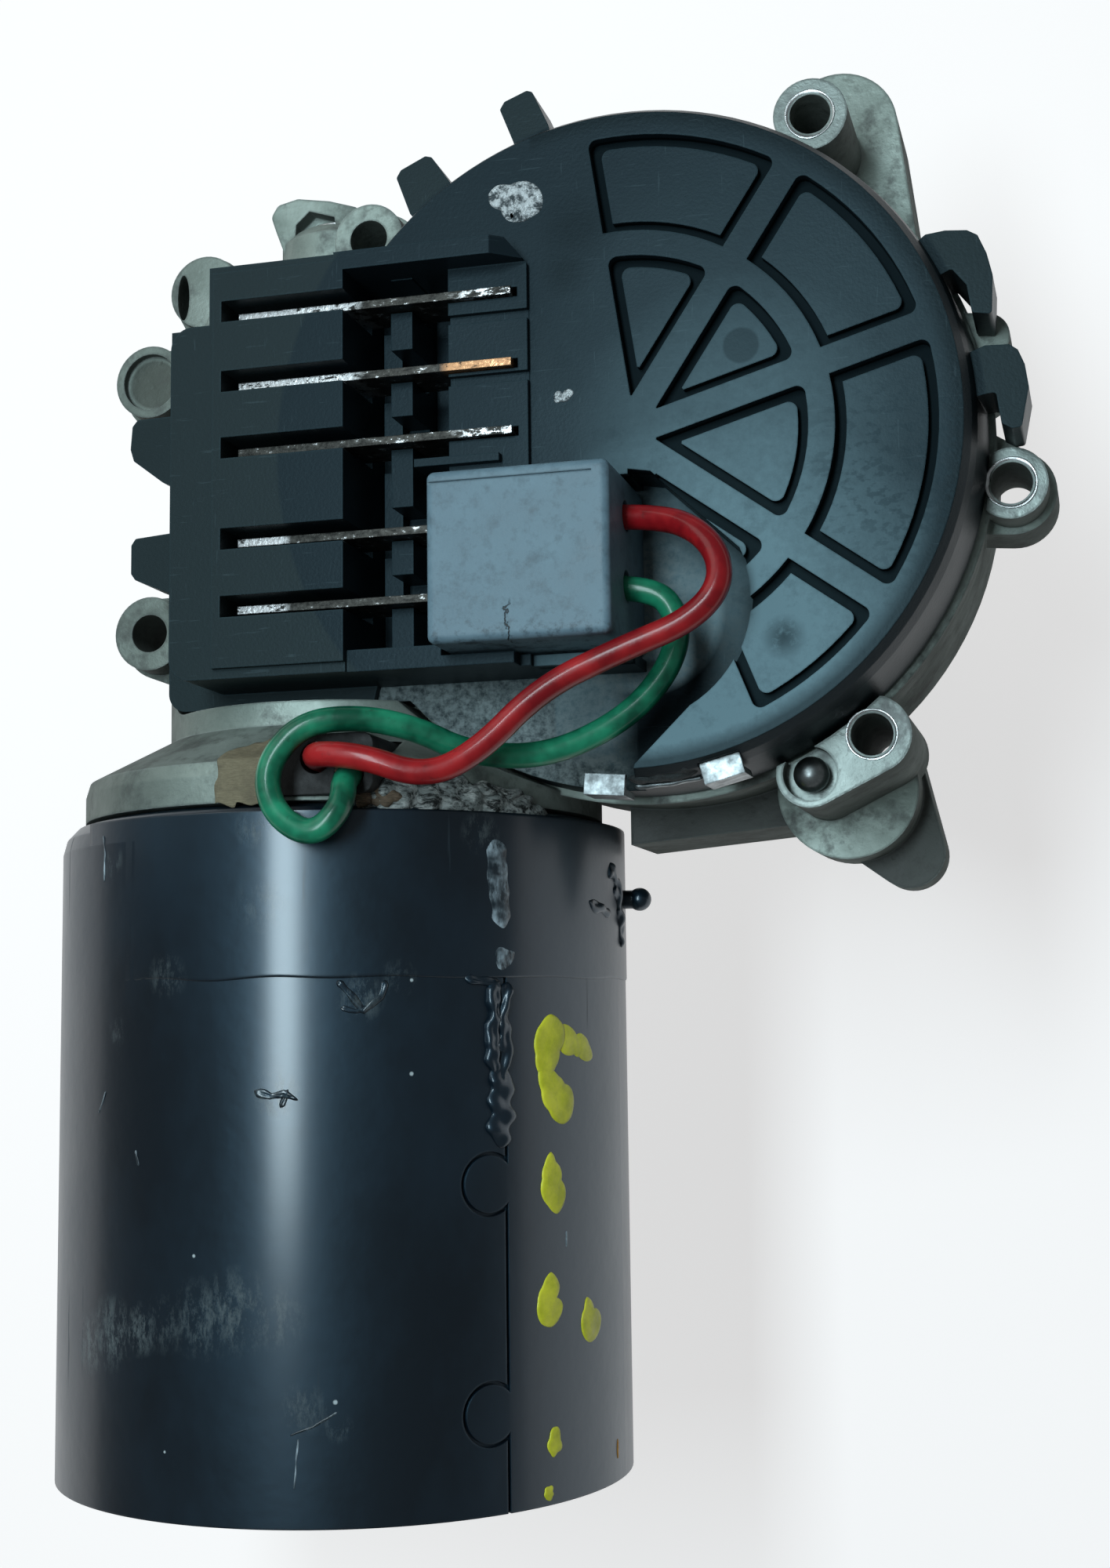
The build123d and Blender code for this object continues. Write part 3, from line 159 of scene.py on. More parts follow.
# ---------------------------------------------------------------- finishes
def tone(red, green, blue):
    """An opaque colour."""
    return (red, green, blue, 1)


class Finish:
    """A material whose node tree is made by short calls, each of which gives a socket."""

    def __init__(self, name, inputs):
        self.material = bpy.data.materials.new(name)
        self.material.use_nodes = True
        self.tree = self.material.node_tree
        self.shader = self.tree.nodes["Principled BSDF"]
        for socket, value in inputs.items():
            self.shader.inputs[socket].default_value = value
        self.place = self.node("TexCoord").outputs["Object"]

    def node(self, kind, **settings):
        """A new shader node with its settings."""
        made = self.tree.nodes.new("ShaderNode" + kind)
        for name, value in settings.items():
            setattr(made, name, value)
        return made

    def feed(self, socket, value):
        """Links a socket to another, or sets its value."""
        if isinstance(value, bpy.types.NodeSocket):
            self.tree.links.new(value, socket)
        else:
            socket.default_value = value

    # patterns
    def mapped(self, stretch, shift):
        """The object's own coordinates, stretched and shifted."""
        made = self.node("Mapping")
        self.feed(made.inputs["Vector"], self.place)
        made.inputs["Scale"].default_value = stretch
        made.inputs["Location"].default_value = (shift, shift * 0.7, shift * 0.4)
        return made.outputs["Vector"]

    def noise(self, size, detail=3.0, rough=0.55, stretch=(1, 1, 1), shift=0.0):
        """Cloudy pattern whose patches are about size millimetres."""
        made = self.node("TexNoise")
        self.feed(made.inputs["Vector"], self.mapped(stretch, shift))
        made.inputs["Scale"].default_value = 1 / (size * MM)
        made.inputs["Detail"].default_value = detail
        made.inputs["Roughness"].default_value = rough
        return made.outputs["Fac"]

    def cells(self, size, shift):
        """Distance to the nearest of scattered points, size millimetres apart."""
        made = self.node("TexVoronoi")
        self.feed(made.inputs["Vector"], self.mapped((1, 1, 1), shift))
        made.inputs["Scale"].default_value = 1 / (size * MM)
        return made.outputs["Distance"]

    # sums
    def span(self, value, low, high, start=0.0, end=1.0):
        """Runs evenly from start at low to end at high, and stops there."""
        made = self.node("MapRange")
        for socket, amount in zip(("Value", "From Min", "From Max", "To Min", "To Max"),
                                  (value, low, high, start, end)):
            self.feed(made.inputs[socket], amount)
        return made.outputs["Result"]

    def calc(self, operation, first, second=0.0):
        """One operation on two values."""
        made = self.node("Math", operation=operation)
        self.feed(made.inputs[0], first)
        self.feed(made.inputs[1], second)
        return made.outputs["Value"]

    def fold(self, operation, values):
        """One operation carried through all the values."""
        total = values[0]
        for value in values[1:]:
            total = self.calc(operation, total, value)
        return total

    def times(self, *values):
        return self.fold("MULTIPLY", values)

    def plus(self, *values):
        return self.fold("ADD", values)

    def most(self, *values):
        return self.fold("MAXIMUM", values)

    def blend(self, share, first, second):
        """From the first colour at share 0 to the second at share 1."""
        made = self.node("Mix", data_type="RGBA")
        self.feed(made.inputs[0], share)
        self.feed(made.inputs[6], first)
        self.feed(made.inputs[7], second)
        return made.outputs[2]

    # places
    def part(self, vector, letter):
        """A vector's share along an axis."""
        made = self.node("SeparateXYZ")
        self.feed(made.inputs[0], vector)
        return made.outputs[letter]

    def axis(self, letter):
        """Place along an axis, in metres."""
        return self.part(self.place, letter)

    def along(self, letter, low, high, start=0.0, end=1.0):
        """Runs evenly from start to end between two places on an axis."""
        return self.span(self.axis(letter), low * MM, high * MM, start, end)

    def at_height(self, height, room=0.25):
        """1 on surfaces within room of a height."""
        made = self.node("Math", operation="COMPARE")
        self.feed(made.inputs[0], self.axis("Z"))
        made.inputs[1].default_value = height * MM
        made.inputs[2].default_value = room * MM
        return made.outputs["Value"]

    def near(self, spot, reach, core):
        """1 within core millimetres of a spot, and 0 beyond reach."""
        made = self.node("VectorMath", operation="DISTANCE")
        self.feed(made.inputs[0], self.place)
        made.inputs[1].default_value = metres(spot)
        return self.span(made.outputs["Value"], core * MM, reach * MM, 1.0, 0.0)

    def away(self, x, y):
        """Distance in millimetres from an upright line."""
        flat = self.node("CombineXYZ")
        self.feed(flat.inputs[0], self.axis("X"))
        self.feed(flat.inputs[1], self.axis("Y"))
        made = self.node("VectorMath", operation="DISTANCE")
        self.feed(made.inputs[0], flat.outputs[0])
        made.inputs[1].default_value = metres((x, y, 0))
        return self.times(made.outputs["Value"], 1 / MM)

    # directions and relief
    def facing(self):
        """How far the surface looks upwards, from -1 to 1."""
        return self.part(self.node("NewGeometry").outputs["Normal"], "Z")

    def rounded(self, radius):
        """The surface's direction with its sharp edges eased to a radius."""
        made = self.node("Bevel", samples=4)
        made.inputs["Radius"].default_value = radius * MM
        return made.outputs["Normal"]

    def edge_wear_and_highlight(self, radius):
        """1 on sharp edges, within a radius of them: lighter colour there stands for wear and a painted edge
        highlight.
        """
        made = self.node("VectorMath", operation="DOT_PRODUCT")
        self.feed(made.inputs[0], self.rounded(radius))
        self.feed(made.inputs[1], self.node("NewGeometry").outputs["Normal"])
        return self.span(made.outputs["Value"], 0.8, 0.97, 1.0, 0.0)

    def bump(self, height, depth, normal=None):
        """Relief of depth millimetres where height runs from 0 to 1."""
        made = self.node("Bump")
        made.inputs["Strength"].default_value = 1.0
        made.inputs["Distance"].default_value = depth * MM
        self.feed(made.inputs["Height"], height)
        if normal is not None:
            self.feed(made.inputs["Normal"], normal)
        return made.outputs["Normal"]

    def wear(self, colour, roughness, normal, metallic=None):
        """Feeds the shader and gives the material."""
        self.feed(self.shader.inputs["Base Color"], colour)
        self.feed(self.shader.inputs["Roughness"], roughness)
        self.feed(self.shader.inputs["Normal"], normal)
        if metallic is not None:
            self.feed(self.shader.inputs["Metallic"], metallic)
        return self.material


def moulded_black():
    """Satin black plastic: dust with a painted sheen, lightest low on the right; painted shade in the
    grooves, round the rim and along the pit's wall; sharp edges lighter from wear and a painted highlight;
    rubbed spots.
    """
    f = Finish("moulded_black", {"Specular IOR Level": 0.16, "Specular Tint": tone(0.62, 0.88, 1.0)})
    up = f.span(f.facing(), 0.6, 0.95)
    cloud = f.noise(14, 5, 0.62)
    speck = f.noise(0.9, 4, 0.7, shift=3)
    drift = f.span(cloud, 0.3, 0.7, 0.65, 1.0)

    out = f.away(0, 0)
    beside_block = f.along("X", BLOCK_SIDE - 0.2, BLOCK_SIDE + 0.2)
    disc = f.times(f.span(out, DISC + 0.1, DISC - 0.1), beside_block)
    # painted shade on the cover's rounded rim, from near the face's edge out to the wall
    rim = f.times(f.span(out, DISC - 2.0, DISC - 0.7), f.span(out, COVER_WALL + 0.2, COVER_WALL - 0.2),
                  beside_block)
    # painted shade deep in the grooves round the pockets
    groove_shade = f.times(disc, f.along("Z", GROOVE_TOP + 0.1, GROOVE_TOP - 0.1),
                     f.along("Z", GROOVE_LOW - 0.15, GROOVE_LOW + 0.15))
    pit = f.times(up, f.near((-14, -27, PIT_FLOOR), 30, 20), f.at_height(PIT_FLOOR, 0.9))
    # painted shadow along the pit's wall at its round end
    x, y, radius = ROUND_WELL
    moat_shadow = f.times(f.span(f.away(x, y), radius - 0.5, radius + 0.5), f.along("X", -3.5, -0.5))

    # dust and a painted sheen: the face is lightened most low on the right, where the lamp's sheen falls
    fall = f.plus(*[f.times(f.near((x, y, FACE), reach, core), weight)
                    for x, y, reach, core, weight in DUST_AND_SHEEN_FALLS])
    dust_and_sheen = f.times(up, disc, fall, drift, f.span(speck, 0.3, 0.7, 0.75, 1),
                   f.span(out, DISC - 0.9, DISC - 2.5, 0.15, 1.0))
    pit_dust = f.times(pit, f.span(speck, 0.36, 0.60, 0.20, 1), f.span(cloud, 0.38, 0.60, 0.55, 1))
    scratch = f.most(f.span(f.noise(5, 3, 0.6, (1, 16, 1), 5), 0.66, 0.70),
                     f.span(f.noise(5, 3, 0.6, (16, 1, 1), 9), 0.68, 0.72))
    gate_mark = f.times(f.near((11.9, 8.2, FACE), 2.0, 1.75), 0.7)
    low_spot = f.times(f.near((15.4, -21.1, FACE), 2.4, 0.4), f.span(speck, 0.3, 0.5))
    blot = f.span(f.noise(3.2, 5, 0.7, shift=11), 0.56, 0.66)
    fleck = f.times(f.near((28, -5, FACE), 13, 5), f.span(f.noise(1.3, 3, 0.6, (1, 1.6, 1), 13), 0.52, 0.60),
                    disc, up)
    # two darker patches left of the top pocket
    dark_patches = f.most(f.near((-4.2, 21.8, FACE), 4.5, 1.2), f.near((-5.6, 17.5, FACE), 3.2, 0.8))

    colour = f.blend(f.span(out, COVER_WALL - 0.2, COVER_WALL + 0.2), tone(0.0110, 0.0190, 0.0245),
                     tone(0.019, 0.028, 0.030))
    # painted shade on the rim
    colour = f.blend(rim, colour, tone(0.004, 0.008, 0.010))
    # dust and painted sheen lighten the face
    colour = f.blend(dust_and_sheen, colour, tone(0.165, 0.270, 0.310))
    colour = f.blend(f.times(blot, disc, up, 0.18), colour, tone(0.0040, 0.010, 0.013))
    colour = f.blend(pit_dust, colour, tone(0.245, 0.300, 0.305))
    # painted shadow in the pit along its wall
    colour = f.blend(f.times(pit, moat_shadow), colour, tone(0.0010, 0.0030, 0.0045))
    # sharp edges lighter: wear and a painted edge highlight
    colour = f.blend(f.times(f.edge_wear_and_highlight(0.35), up, 0.25), colour, tone(0.09, 0.16, 0.19))
    colour = f.blend(f.times(scratch, up, 0.12), colour, tone(0.14, 0.21, 0.24))
    colour = f.blend(f.times(fleck, 0.45), colour, tone(0.012, 0.026, 0.034))
    colour = f.blend(f.times(dark_patches, drift, 0.75), colour, tone(0.002, 0.005, 0.007))
    colour = f.blend(f.times(f.most(gate_mark, low_spot), 0.8), colour, tone(0.006, 0.012, 0.015))
    # painted shade in the grooves
    colour = f.blend(f.times(groove_shade, 0.93), colour, tone(0.0012, 0.0040, 0.0055))
    rough = f.plus(f.span(cloud, 0.3, 0.7, 0.37, 0.46), f.times(f.most(dust_and_sheen, pit), 0.16),
                   f.times(groove_shade, 0.3))
    grain = f.plus(f.noise(0.35, 2, 0.6), f.times(pit, speck, 6.0))
    return f.wear(colour=colour, roughness=rough, normal=f.bump(grain, 0.02, f.rounded(0.25)))


def cast_metal():
    """Grey die casting: fine skin, brownish painted shade on its sides and on the ledges low down, machined
    pads.
    """
    f = Finish("cast_metal", {})
    cloud = f.noise(9, 5, 0.65)
    speck = f.noise(0.8, 3, 0.7, shift=2)
    stain = f.span(f.noise(4.5, 5, 0.7, shift=7), 0.50, 0.66)
    # painted shade: faces that turn sideways are darkened
    side = f.span(f.facing(), 0.75, 0.25)
    # painted shade on up-facing ledges low under the cover
    low = f.times(f.along("Z", LEDGE + 0.35, LEDGE - 0.35), f.span(f.facing(), 0.85, 0.97))
    cut = f.times(f.span(f.facing(), 0.97, 0.995), f.most(f.at_height(HIGH_PAD), f.at_height(LOW_PAD)))
    left_end = f.times(f.along("X", -44, -53), 0.5)
    drilled = f.times(f.near(SPOT_FACE, 3.4, 2.6), 0.85)

    colour = f.blend(f.span(cloud, 0.3, 0.7), tone(0.24, 0.29, 0.26), tone(0.40, 0.47, 0.43))
    colour = f.blend(f.times(stain, 0.7), colour, tone(0.045, 0.052, 0.05))
    # painted shade on the sides
    colour = f.blend(f.times(side, f.span(cloud, 0.3, 0.7, 0.72, 0.48)), colour, tone(0.034, 0.037, 0.031))
    # painted shade on the low ledges
    colour = f.blend(f.times(low, f.span(cloud, 0.3, 0.7, 0.80, 0.97)), colour, tone(0.026, 0.027, 0.023))
    colour = f.blend(f.most(left_end, drilled), colour, tone(0.055, 0.062, 0.052))
    colour = f.blend(f.times(cut, 0.6), colour, tone(0.22, 0.255, 0.25))
    # sharp edges lighter: wear and a painted edge highlight
    colour = f.blend(f.times(f.edge_wear_and_highlight(0.35), 0.4), colour, tone(0.50, 0.56, 0.55))
    rough = f.plus(f.span(cloud, 0.3, 0.7, 0.62, 0.5),
                   f.calc("SUBTRACT", f.times(side, 0.25), f.times(cut, 0.1)))
    pores = f.plus(speck, f.times(f.span(f.cells(1.6, 4), 0.0, 0.22), 0.6))
    return f.wear(colour=colour, roughness=rough, metallic=f.span(f.most(stain, side, low), 0, 1, 0.6, 0.0),
                  normal=f.bump(pores, 0.06, f.rounded(0.4)))


def gloss_paint():
    """Black gloss paint over a rolled can: orange peel, haze, long scrapes, bare scuffs and specks."""
    f = Finish("gloss_paint", {"Specular IOR Level": 0.5, "Specular Tint": tone(0.35, 0.70, 1.0),
                               "Coat Weight": 0.27, "Coat Roughness": 0.22, "Coat IOR": 2.3})
    haze = f.span(f.noise(16, 5, 0.65, (1, 0.6, 1)), 0.40, 0.70)
    broken = f.span(f.noise(1.5, 6, 0.82, (1, 0.4, 1), 1), 0.47, 0.62)
    streak = f.span(f.noise(1.3, 3, 0.6, (1, 0.05, 1), 6), 0.70, 0.75)
    rub = f.most(*[f.times(f.near(on_can(arc, along, 0.0), reach, reach * 0.3), broken, share)
                   for arc, along, reach, share in CAN_SCUFFS])
    bare = f.most(*[f.near(on_can(arc, along, 0.0), reach, reach * 0.5) for arc, along, reach in CAN_SPECKS])
    colour = f.blend(haze, tone(0.0012, 0.0032, 0.0060), tone(0.0050, 0.0120, 0.0200))
    colour = f.blend(f.times(streak, 0.12), colour, tone(0.10, 0.13, 0.14))
    colour = f.blend(f.times(rub, 0.8), colour, tone(0.16, 0.19, 0.19))
    colour = f.blend(bare, colour, tone(0.50, 0.58, 0.60))
    rough = f.plus(f.span(haze, 0, 1, 0.40, 0.48), f.times(f.most(rub, streak), 0.3))
    peel = f.plus(f.noise(1.7, 2, 0.5, shift=9), f.times(f.noise(9, 2, 0.5, shift=8), 2.2))
    relief = f.bump(f.calc("SUBTRACT", peel, f.times(rub, 0.8)), 0.03, f.rounded(0.3))
    return f.wear(colour=colour, roughness=rough, normal=relief)


def seam_highlight_and_scratch_paint():
    """Pale drawn-out patches that fade into the black: a painted highlight of the lamp on the glossy smear
    over the seam, and the pale of the fine scratches.
    """
    f = Finish("seam_highlight_and_scratch_paint", {"Coat Weight": 0.2, "Coat Roughness": 0.2})
    drawn = f.noise(1.6, 5, 0.7, (1.4, 0.5, 1.4), 3)
    patch = f.span(f.noise(3.0, 3, 0.6, shift=8), 0.38, 0.60)
    colour = f.blend(f.times(f.span(drawn, 0.40, 0.60), patch), tone(0.010, 0.020, 0.028),
                     tone(0.42, 0.52, 0.58))
    return f.wear(colour=colour, roughness=f.span(drawn, 0.3, 0.7, 0.45, 0.25), normal=f.bump(drawn, 0.12))


def pale_plug():
    """Light blue-grey nylon: mottled grime, a hair crack from the rear edge, dull edges lightened by wear and
    a painted highlight.
    """
    f = Finish("pale_plug", {"Specular IOR Level": 0.4})
    cloud = f.noise(5, 6, 0.7)
    grime = f.span(f.noise(1.5, 5, 0.7, (1, 1, 1), 4), 0.50, 0.72)
    rear = f.along("Y", -18.5, -21.1)
    crack_x = -9.9
    sway = f.times(f.calc("SUBTRACT", f.noise(1.6, 3, 0.6, shift=2), 0.5), 3 * MM)
    off = f.calc("ABSOLUTE", f.calc("SUBTRACT", f.plus(f.axis("X"), -crack_x * MM), sway))
    crack = f.times(f.span(off, 0.06 * MM, 0.16 * MM, 1, 0), f.near((crack_x, -20.3, 66), 3.2, 2.2))
    colour = f.blend(f.span(cloud, 0.3, 0.7), tone(0.115, 0.195, 0.245), tone(0.185, 0.285, 0.345))
    colour = f.blend(f.times(grime, 0.45), colour, tone(0.05, 0.075, 0.09))
    # sharp edges lighter: wear and a painted edge highlight
    colour = f.blend(f.times(f.edge_wear_and_highlight(0.35), 0.5), colour, tone(0.30, 0.40, 0.45))
    colour = f.blend(f.most(f.times(rear, grime, 0.8), crack), colour, tone(0.012, 0.016, 0.02))
    grain = f.calc("SUBTRACT", f.noise(0.4, 3, 0.6), f.times(crack, 2))
    return f.wear(colour=colour, roughness=f.span(cloud, 0.3, 0.7, 0.42, 0.6),
                  normal=f.bump(grain, 0.025, f.rounded(0.3)))


def insulation(name, deep, bright, shift):
    """Soft gloss PVC: deep colour with paler rubbed lengths and a faint dimpled skin."""
    f = Finish(name, {"Specular IOR Level": 0.3, "Coat Weight": 0.3, "Coat Roughness": 0.14})
    rubbed = f.span(f.noise(5, 3, 0.6, shift=shift), 0.38, 0.66)
    grime = f.span(f.noise(1.2, 4, 0.7, shift=shift + 3), 0.60, 0.72)
    colour = f.blend(rubbed, deep, bright)
    colour = f.blend(f.times(grime, 0.35), colour, tone(0.012, 0.012, 0.01))
    relief = f.bump(f.noise(0.7, 2, 0.5, shift=shift), 0.02)
    return f.wear(colour=colour, roughness=f.span(rubbed, 0, 1, 0.28, 0.42), normal=relief)


def tinned():
    """Tinned brass blade: torn bright patches at both ends on a dark tarnish, copper on one blade."""
    f = Finish("tinned", {})
    torn = f.noise(1.3, 5, 0.75, (1, 2, 1))
    front_blades = f.times(f.along("Y", 4, 6), f.along("X", -26.5, -29.0))
    rear_blades = f.times(f.along("Y", -4, -6), f.along("X", -34.5, -36.0))
    left = f.times(f.most(front_blades, rear_blades), f.span(torn, 0.42, 0.47))
    right = f.times(f.along("X", -17.5, -15.0), f.span(torn, 0.50, 0.56))
    fresh = f.most(left, right, f.times(f.span(torn, 0.60, 0.64), 0.8))
    copper = f.near((-14.0, 8.2, 59), 4.6, 3.6)
    colour = f.blend(f.span(torn, 0.35, 0.6), tone(0.018, 0.018, 0.017), tone(0.075, 0.073, 0.066))
    colour = f.blend(fresh, colour, tone(0.74, 0.75, 0.76))
    colour = f.blend(f.times(copper, f.span(torn, 0.36, 0.46)), colour, tone(0.50, 0.27, 0.14))
    relief = f.bump(f.noise(0.5, 3, 0.6), 0.04, f.rounded(0.12))
    return f.wear(colour=colour, roughness=f.span(fresh, 0, 1, 0.5, 0.28), metallic=0.9, normal=relief)


def plain_metal(name, light, dark, rough, size=2.0, stretch=(1, 1, 1)):
    """Metal with clouded tarnish and fine tool marks."""
    f = Finish(name, {"Metallic": 1.0})
    cloud = f.span(f.noise(size, 4, 0.65), 0.35, 0.68)
    marks = f.noise(0.35, 3, 0.6, stretch, 3)
    return f.wear(colour=f.blend(cloud, light, dark), roughness=f.span(cloud, 0, 1, rough, rough + 0.18),
                  normal=f.bump(marks, 0.012, f.rounded(0.15)))


def plain_body(name, light, dark, rough, size=2.5, depth=0.02):
    """Non-metal with clouded colour and a fine grain."""
    f = Finish(name, {})
    cloud = f.span(f.noise(size, 5, 0.65), 0.32, 0.68)
    grain = f.noise(size * 0.2, 4, 0.65, shift=2)
    return f.wear(colour=f.blend(cloud, light, dark), roughness=f.span(cloud, 0, 1, rough, rough + 0.15),
                  normal=f.bump(grain, depth, f.rounded(0.2)))


def wound_copper():
    """Enamelled wire: ridges a wire apart over a dark red-brown copper."""
    f = Finish("wound_copper", {"Metallic": 0.9})
    wire = f.node("TexWave", bands_direction="DIAGONAL")
    f.feed(wire.inputs["Vector"], f.place)
    wire.inputs["Scale"].default_value = 420
    wire.inputs["Distortion"].default_value = 1.2
    ridge = wire.outputs["Fac"]
    colour = f.blend(ridge, tone(0.16, 0.05, 0.02), tone(0.55, 0.22, 0.09))
    return f.wear(colour=colour, roughness=f.span(ridge, 0, 1, 0.5, 0.32), normal=f.bump(ridge, 0.15))


def flaked_paint():
    """Peeling silver residue: bright wrinkled flakes with dark hollows."""
    f = Finish("flaked_paint", {"Metallic": 0.35})
    crinkle = f.noise(0.9, 5, 0.75)
    colour = f.blend(f.span(crinkle, 0.42, 0.56), tone(0.06, 0.08, 0.09), tone(0.74, 0.80, 0.82))
    return f.wear(colour=colour, roughness=f.span(crinkle, 0.3, 0.7, 0.55, 0.32),
                  normal=f.bump(crinkle, 0.35))


def dried_sealant():
    """Dried grey-brown sealant: torn ridges, pale crumbs and dark gaps."""
    f = Finish("dried_sealant", {})
    torn = f.noise(1.5, 6, 0.78, (0.35, 1.8, 1.5))
    crumb = f.span(f.noise(0.9, 4, 0.7, (0.4, 1, 1), 4), 0.50, 0.60)
    colour = f.blend(f.span(torn, 0.44, 0.54), tone(0.022, 0.026, 0.026), tone(0.34, 0.38, 0.37))
    colour = f.blend(f.times(crumb, 0.85), colour, tone(0.66, 0.70, 0.68))
    return f.wear(colour=colour, roughness=f.span(torn, 0.3, 0.7, 0.75, 0.5), normal=f.bump(torn, 0.6))


def brown_paper(name, dark, light):
    """Old kraft paper: fibres, with blots of grime."""
    f = Finish(name, {})
    fibre = f.noise(0.7, 5, 0.7, (1, 5, 1))
    blot = f.span(f.noise(3.5, 4, 0.65, shift=5), 0.45, 0.68)
    colour = f.blend(f.span(fibre, 0.3, 0.7), dark, light)
    colour = f.blend(f.times(blot, 0.6), colour, tone(0.07, 0.06, 0.04))
    return f.wear(colour=colour, roughness=f.span(fibre, 0.3, 0.7, 0.7, 0.85), normal=f.bump(fibre, 0.08))


def marking_paint(name, light, dark, shift):
    """Thick brushed paint: translucent thin edges, gloss ridges."""
    f = Finish(name, {"Specular IOR Level": 0.3, "Coat Weight": 0.12, "Coat Roughness": 0.12})
    thin = f.span(f.noise(2.4, 4, 0.6, shift=shift), 0.36, 0.66)
    return f.wear(colour=f.blend(thin, light, dark), roughness=f.span(thin, 0, 1, 0.3, 0.42),
                  normal=f.bump(f.noise(1.0, 3, 0.5), 0.12))


# ---------------------------------------------------------------- places on the motor
def round_axle(arc, along, reach):
    """Place about the can's axis: arc in degrees from +X towards +Z, along in Y."""
    theta = np.radians(arc)
    return np.stack([AXLE_X + reach * np.cos(theta), along + 0 * theta, AXLE_Z + reach * np.sin(theta)], -1)


def on_can(arc, along, rise):
    """Place over the can's skin."""
    return round_axle(arc, along, CAN + rise)


def on_cone(arc, along, rise):
    """Place over the flange in front of the can."""
    return round_axle(arc, along, np.interp(along, FLANGE_Y, FLANGE_RADIUS) + rise)


def on_face(x, y, rise):
    """Place over the cover's round face."""
    return np.stack([x, y, FACE + rise + 0 * x], axis=-1)


def on_shoulder(radius, rise, first, last):
    """Places on the cover's shoulder, by angle about the output axis, and their outward directions."""
    angle = np.radians(np.linspace(first, last, 12))
    out, up = EDGE_UP
    places = np.stack([radius * np.cos(angle), radius * np.sin(angle), FACE + rise + 0 * angle], axis=1)
    ups = np.stack([out * np.cos(angle), out * np.sin(angle), up + 0 * angle], axis=1)
    return places, ups


# ---------------------------------------------------------------- surfaces
def quads(rows, columns, wrap):
    """Corner numbers of a grid's quads; wrap joins the last column to the first."""
    i, j = np.meshgrid(np.arange(rows - 1), np.arange(columns if wrap else columns - 1), indexing="ij")
    k = (j + 1) % columns
    corners = [i * columns + j, i * columns + k, (i + 1) * columns + k, (i + 1) * columns + j]
    return np.stack(corners, axis=-1).reshape(-1, 4)


def closed_grid(points):
    """A grid whose columns go round: its first and last rows are closed by fans to their middles.
    Gives the corners and arrays of their numbers, one for the quads and one for each fan."""
    rows, columns = points.shape[:2]
    corners = np.concatenate([points.reshape(-1, 3), points[:1].mean(axis=1), points[-1:].mean(axis=1)])
    first = np.arange(columns)
    following = (first + 1) % columns
    last = (rows - 1) * columns
    pole = np.full(columns, rows * columns)
    first_fan = np.stack([pole, following, first], axis=1)
    last_fan = np.stack([pole + 1, last + first, last + following], axis=1)
    return corners, [quads(rows, columns, True), first_fan, last_fan]


def wobble(a, b, seed):
    """Smooth uneven field from -1 to 1: the mean of seven waves of chance direction, length and phase."""
    waves = 7
    chance = np.random.default_rng(seed)
    way = chance.uniform(0, 2 * math.pi, waves)
    often = chance.uniform(0.6, 2.4, waves)
    phase = chance.uniform(0, 2 * math.pi, waves)
    a, b = np.broadcast_arrays(np.asarray(a, float), np.asarray(b, float))
    angle = often * (a[..., None] * np.cos(way) + b[..., None] * np.sin(way)) + phase
    return np.sin(angle).mean(axis=-1) * 2


def over_and_under():
    """Shares of the reach on the way out from a blob's middle over its top and back underneath,
    and which of them lie on top."""
    trip = np.linspace(0.02, 1.98, 25)[:, None]
    return np.where(trip < 1, trip, 2 - trip), trip < 1


def can_dab(arc, along, half_arc, half_along, slant, thick, seed, ragged=0.12):
    """A blob on the can, its half widths in millimetres round and along it. Its rim is an ellipse
    with an uneven edge, and its height falls off as the fourth power of the reach."""
    out, on_top = over_and_under()
    angle = np.linspace(0, 2 * math.pi, 48, endpoint=False)[None, :]
    reach = out * (1 + ragged * wobble(3 * np.cos(angle), 3 * np.sin(angle), seed))
    u, v = half_arc * np.cos(angle) * reach, half_along * np.sin(angle) * reach
    tilt = math.radians(slant)
    a = arc + (u * math.cos(tilt) - v * math.sin(tilt)) * CAN_DEGREES
    b = along + u * math.sin(tilt) + v * math.cos(tilt)
    return closed_grid(on_can(a, b, np.where(on_top, thick * (1 - out ** 4) ** 0.5, -SUNK)))


def daub(place, rim, scale, thick, seed, crinkle=0.0):
    """A blob inside an outline on a surface, scale turning millimetres into its places. Its reach is
    the outline's own, found by angle about the middle; its height falls off as the fourth power of
    the reach, with a slight swell and a finer crinkle."""
    rim = np.asarray(rim, float) / scale
    middle = rim.mean(axis=0)
    part = rim - middle
    angle = np.arctan2(part[:, 1], part[:, 0])
    order = np.argsort(angle)
    around = np.linspace(-math.pi, math.pi, 72, endpoint=False)
    edge = np.interp(around, angle[order], np.hypot(part[:, 0], part[:, 1])[order], period=2 * math.pi)
    edge = (np.roll(edge, 1) + 2 * edge + np.roll(edge, -1)) / 4
    out, on_top = over_and_under()
    a = middle[0] + edge * np.cos(around) * out
    b = middle[1] + edge * np.sin(around) * out
    top = thick * ((1 - out ** 4) ** 0.5 + 0.3 * wobble(a, b, seed) * (1 - out ** 4))
    top = top + crinkle * wobble(a * 3, b * 3, seed + 1) * (1 - out ** 6)
    return closed_grid(place(a * scale[0], b * scale[1], np.where(on_top, np.maximum(top, 0.0), -SUNK)))


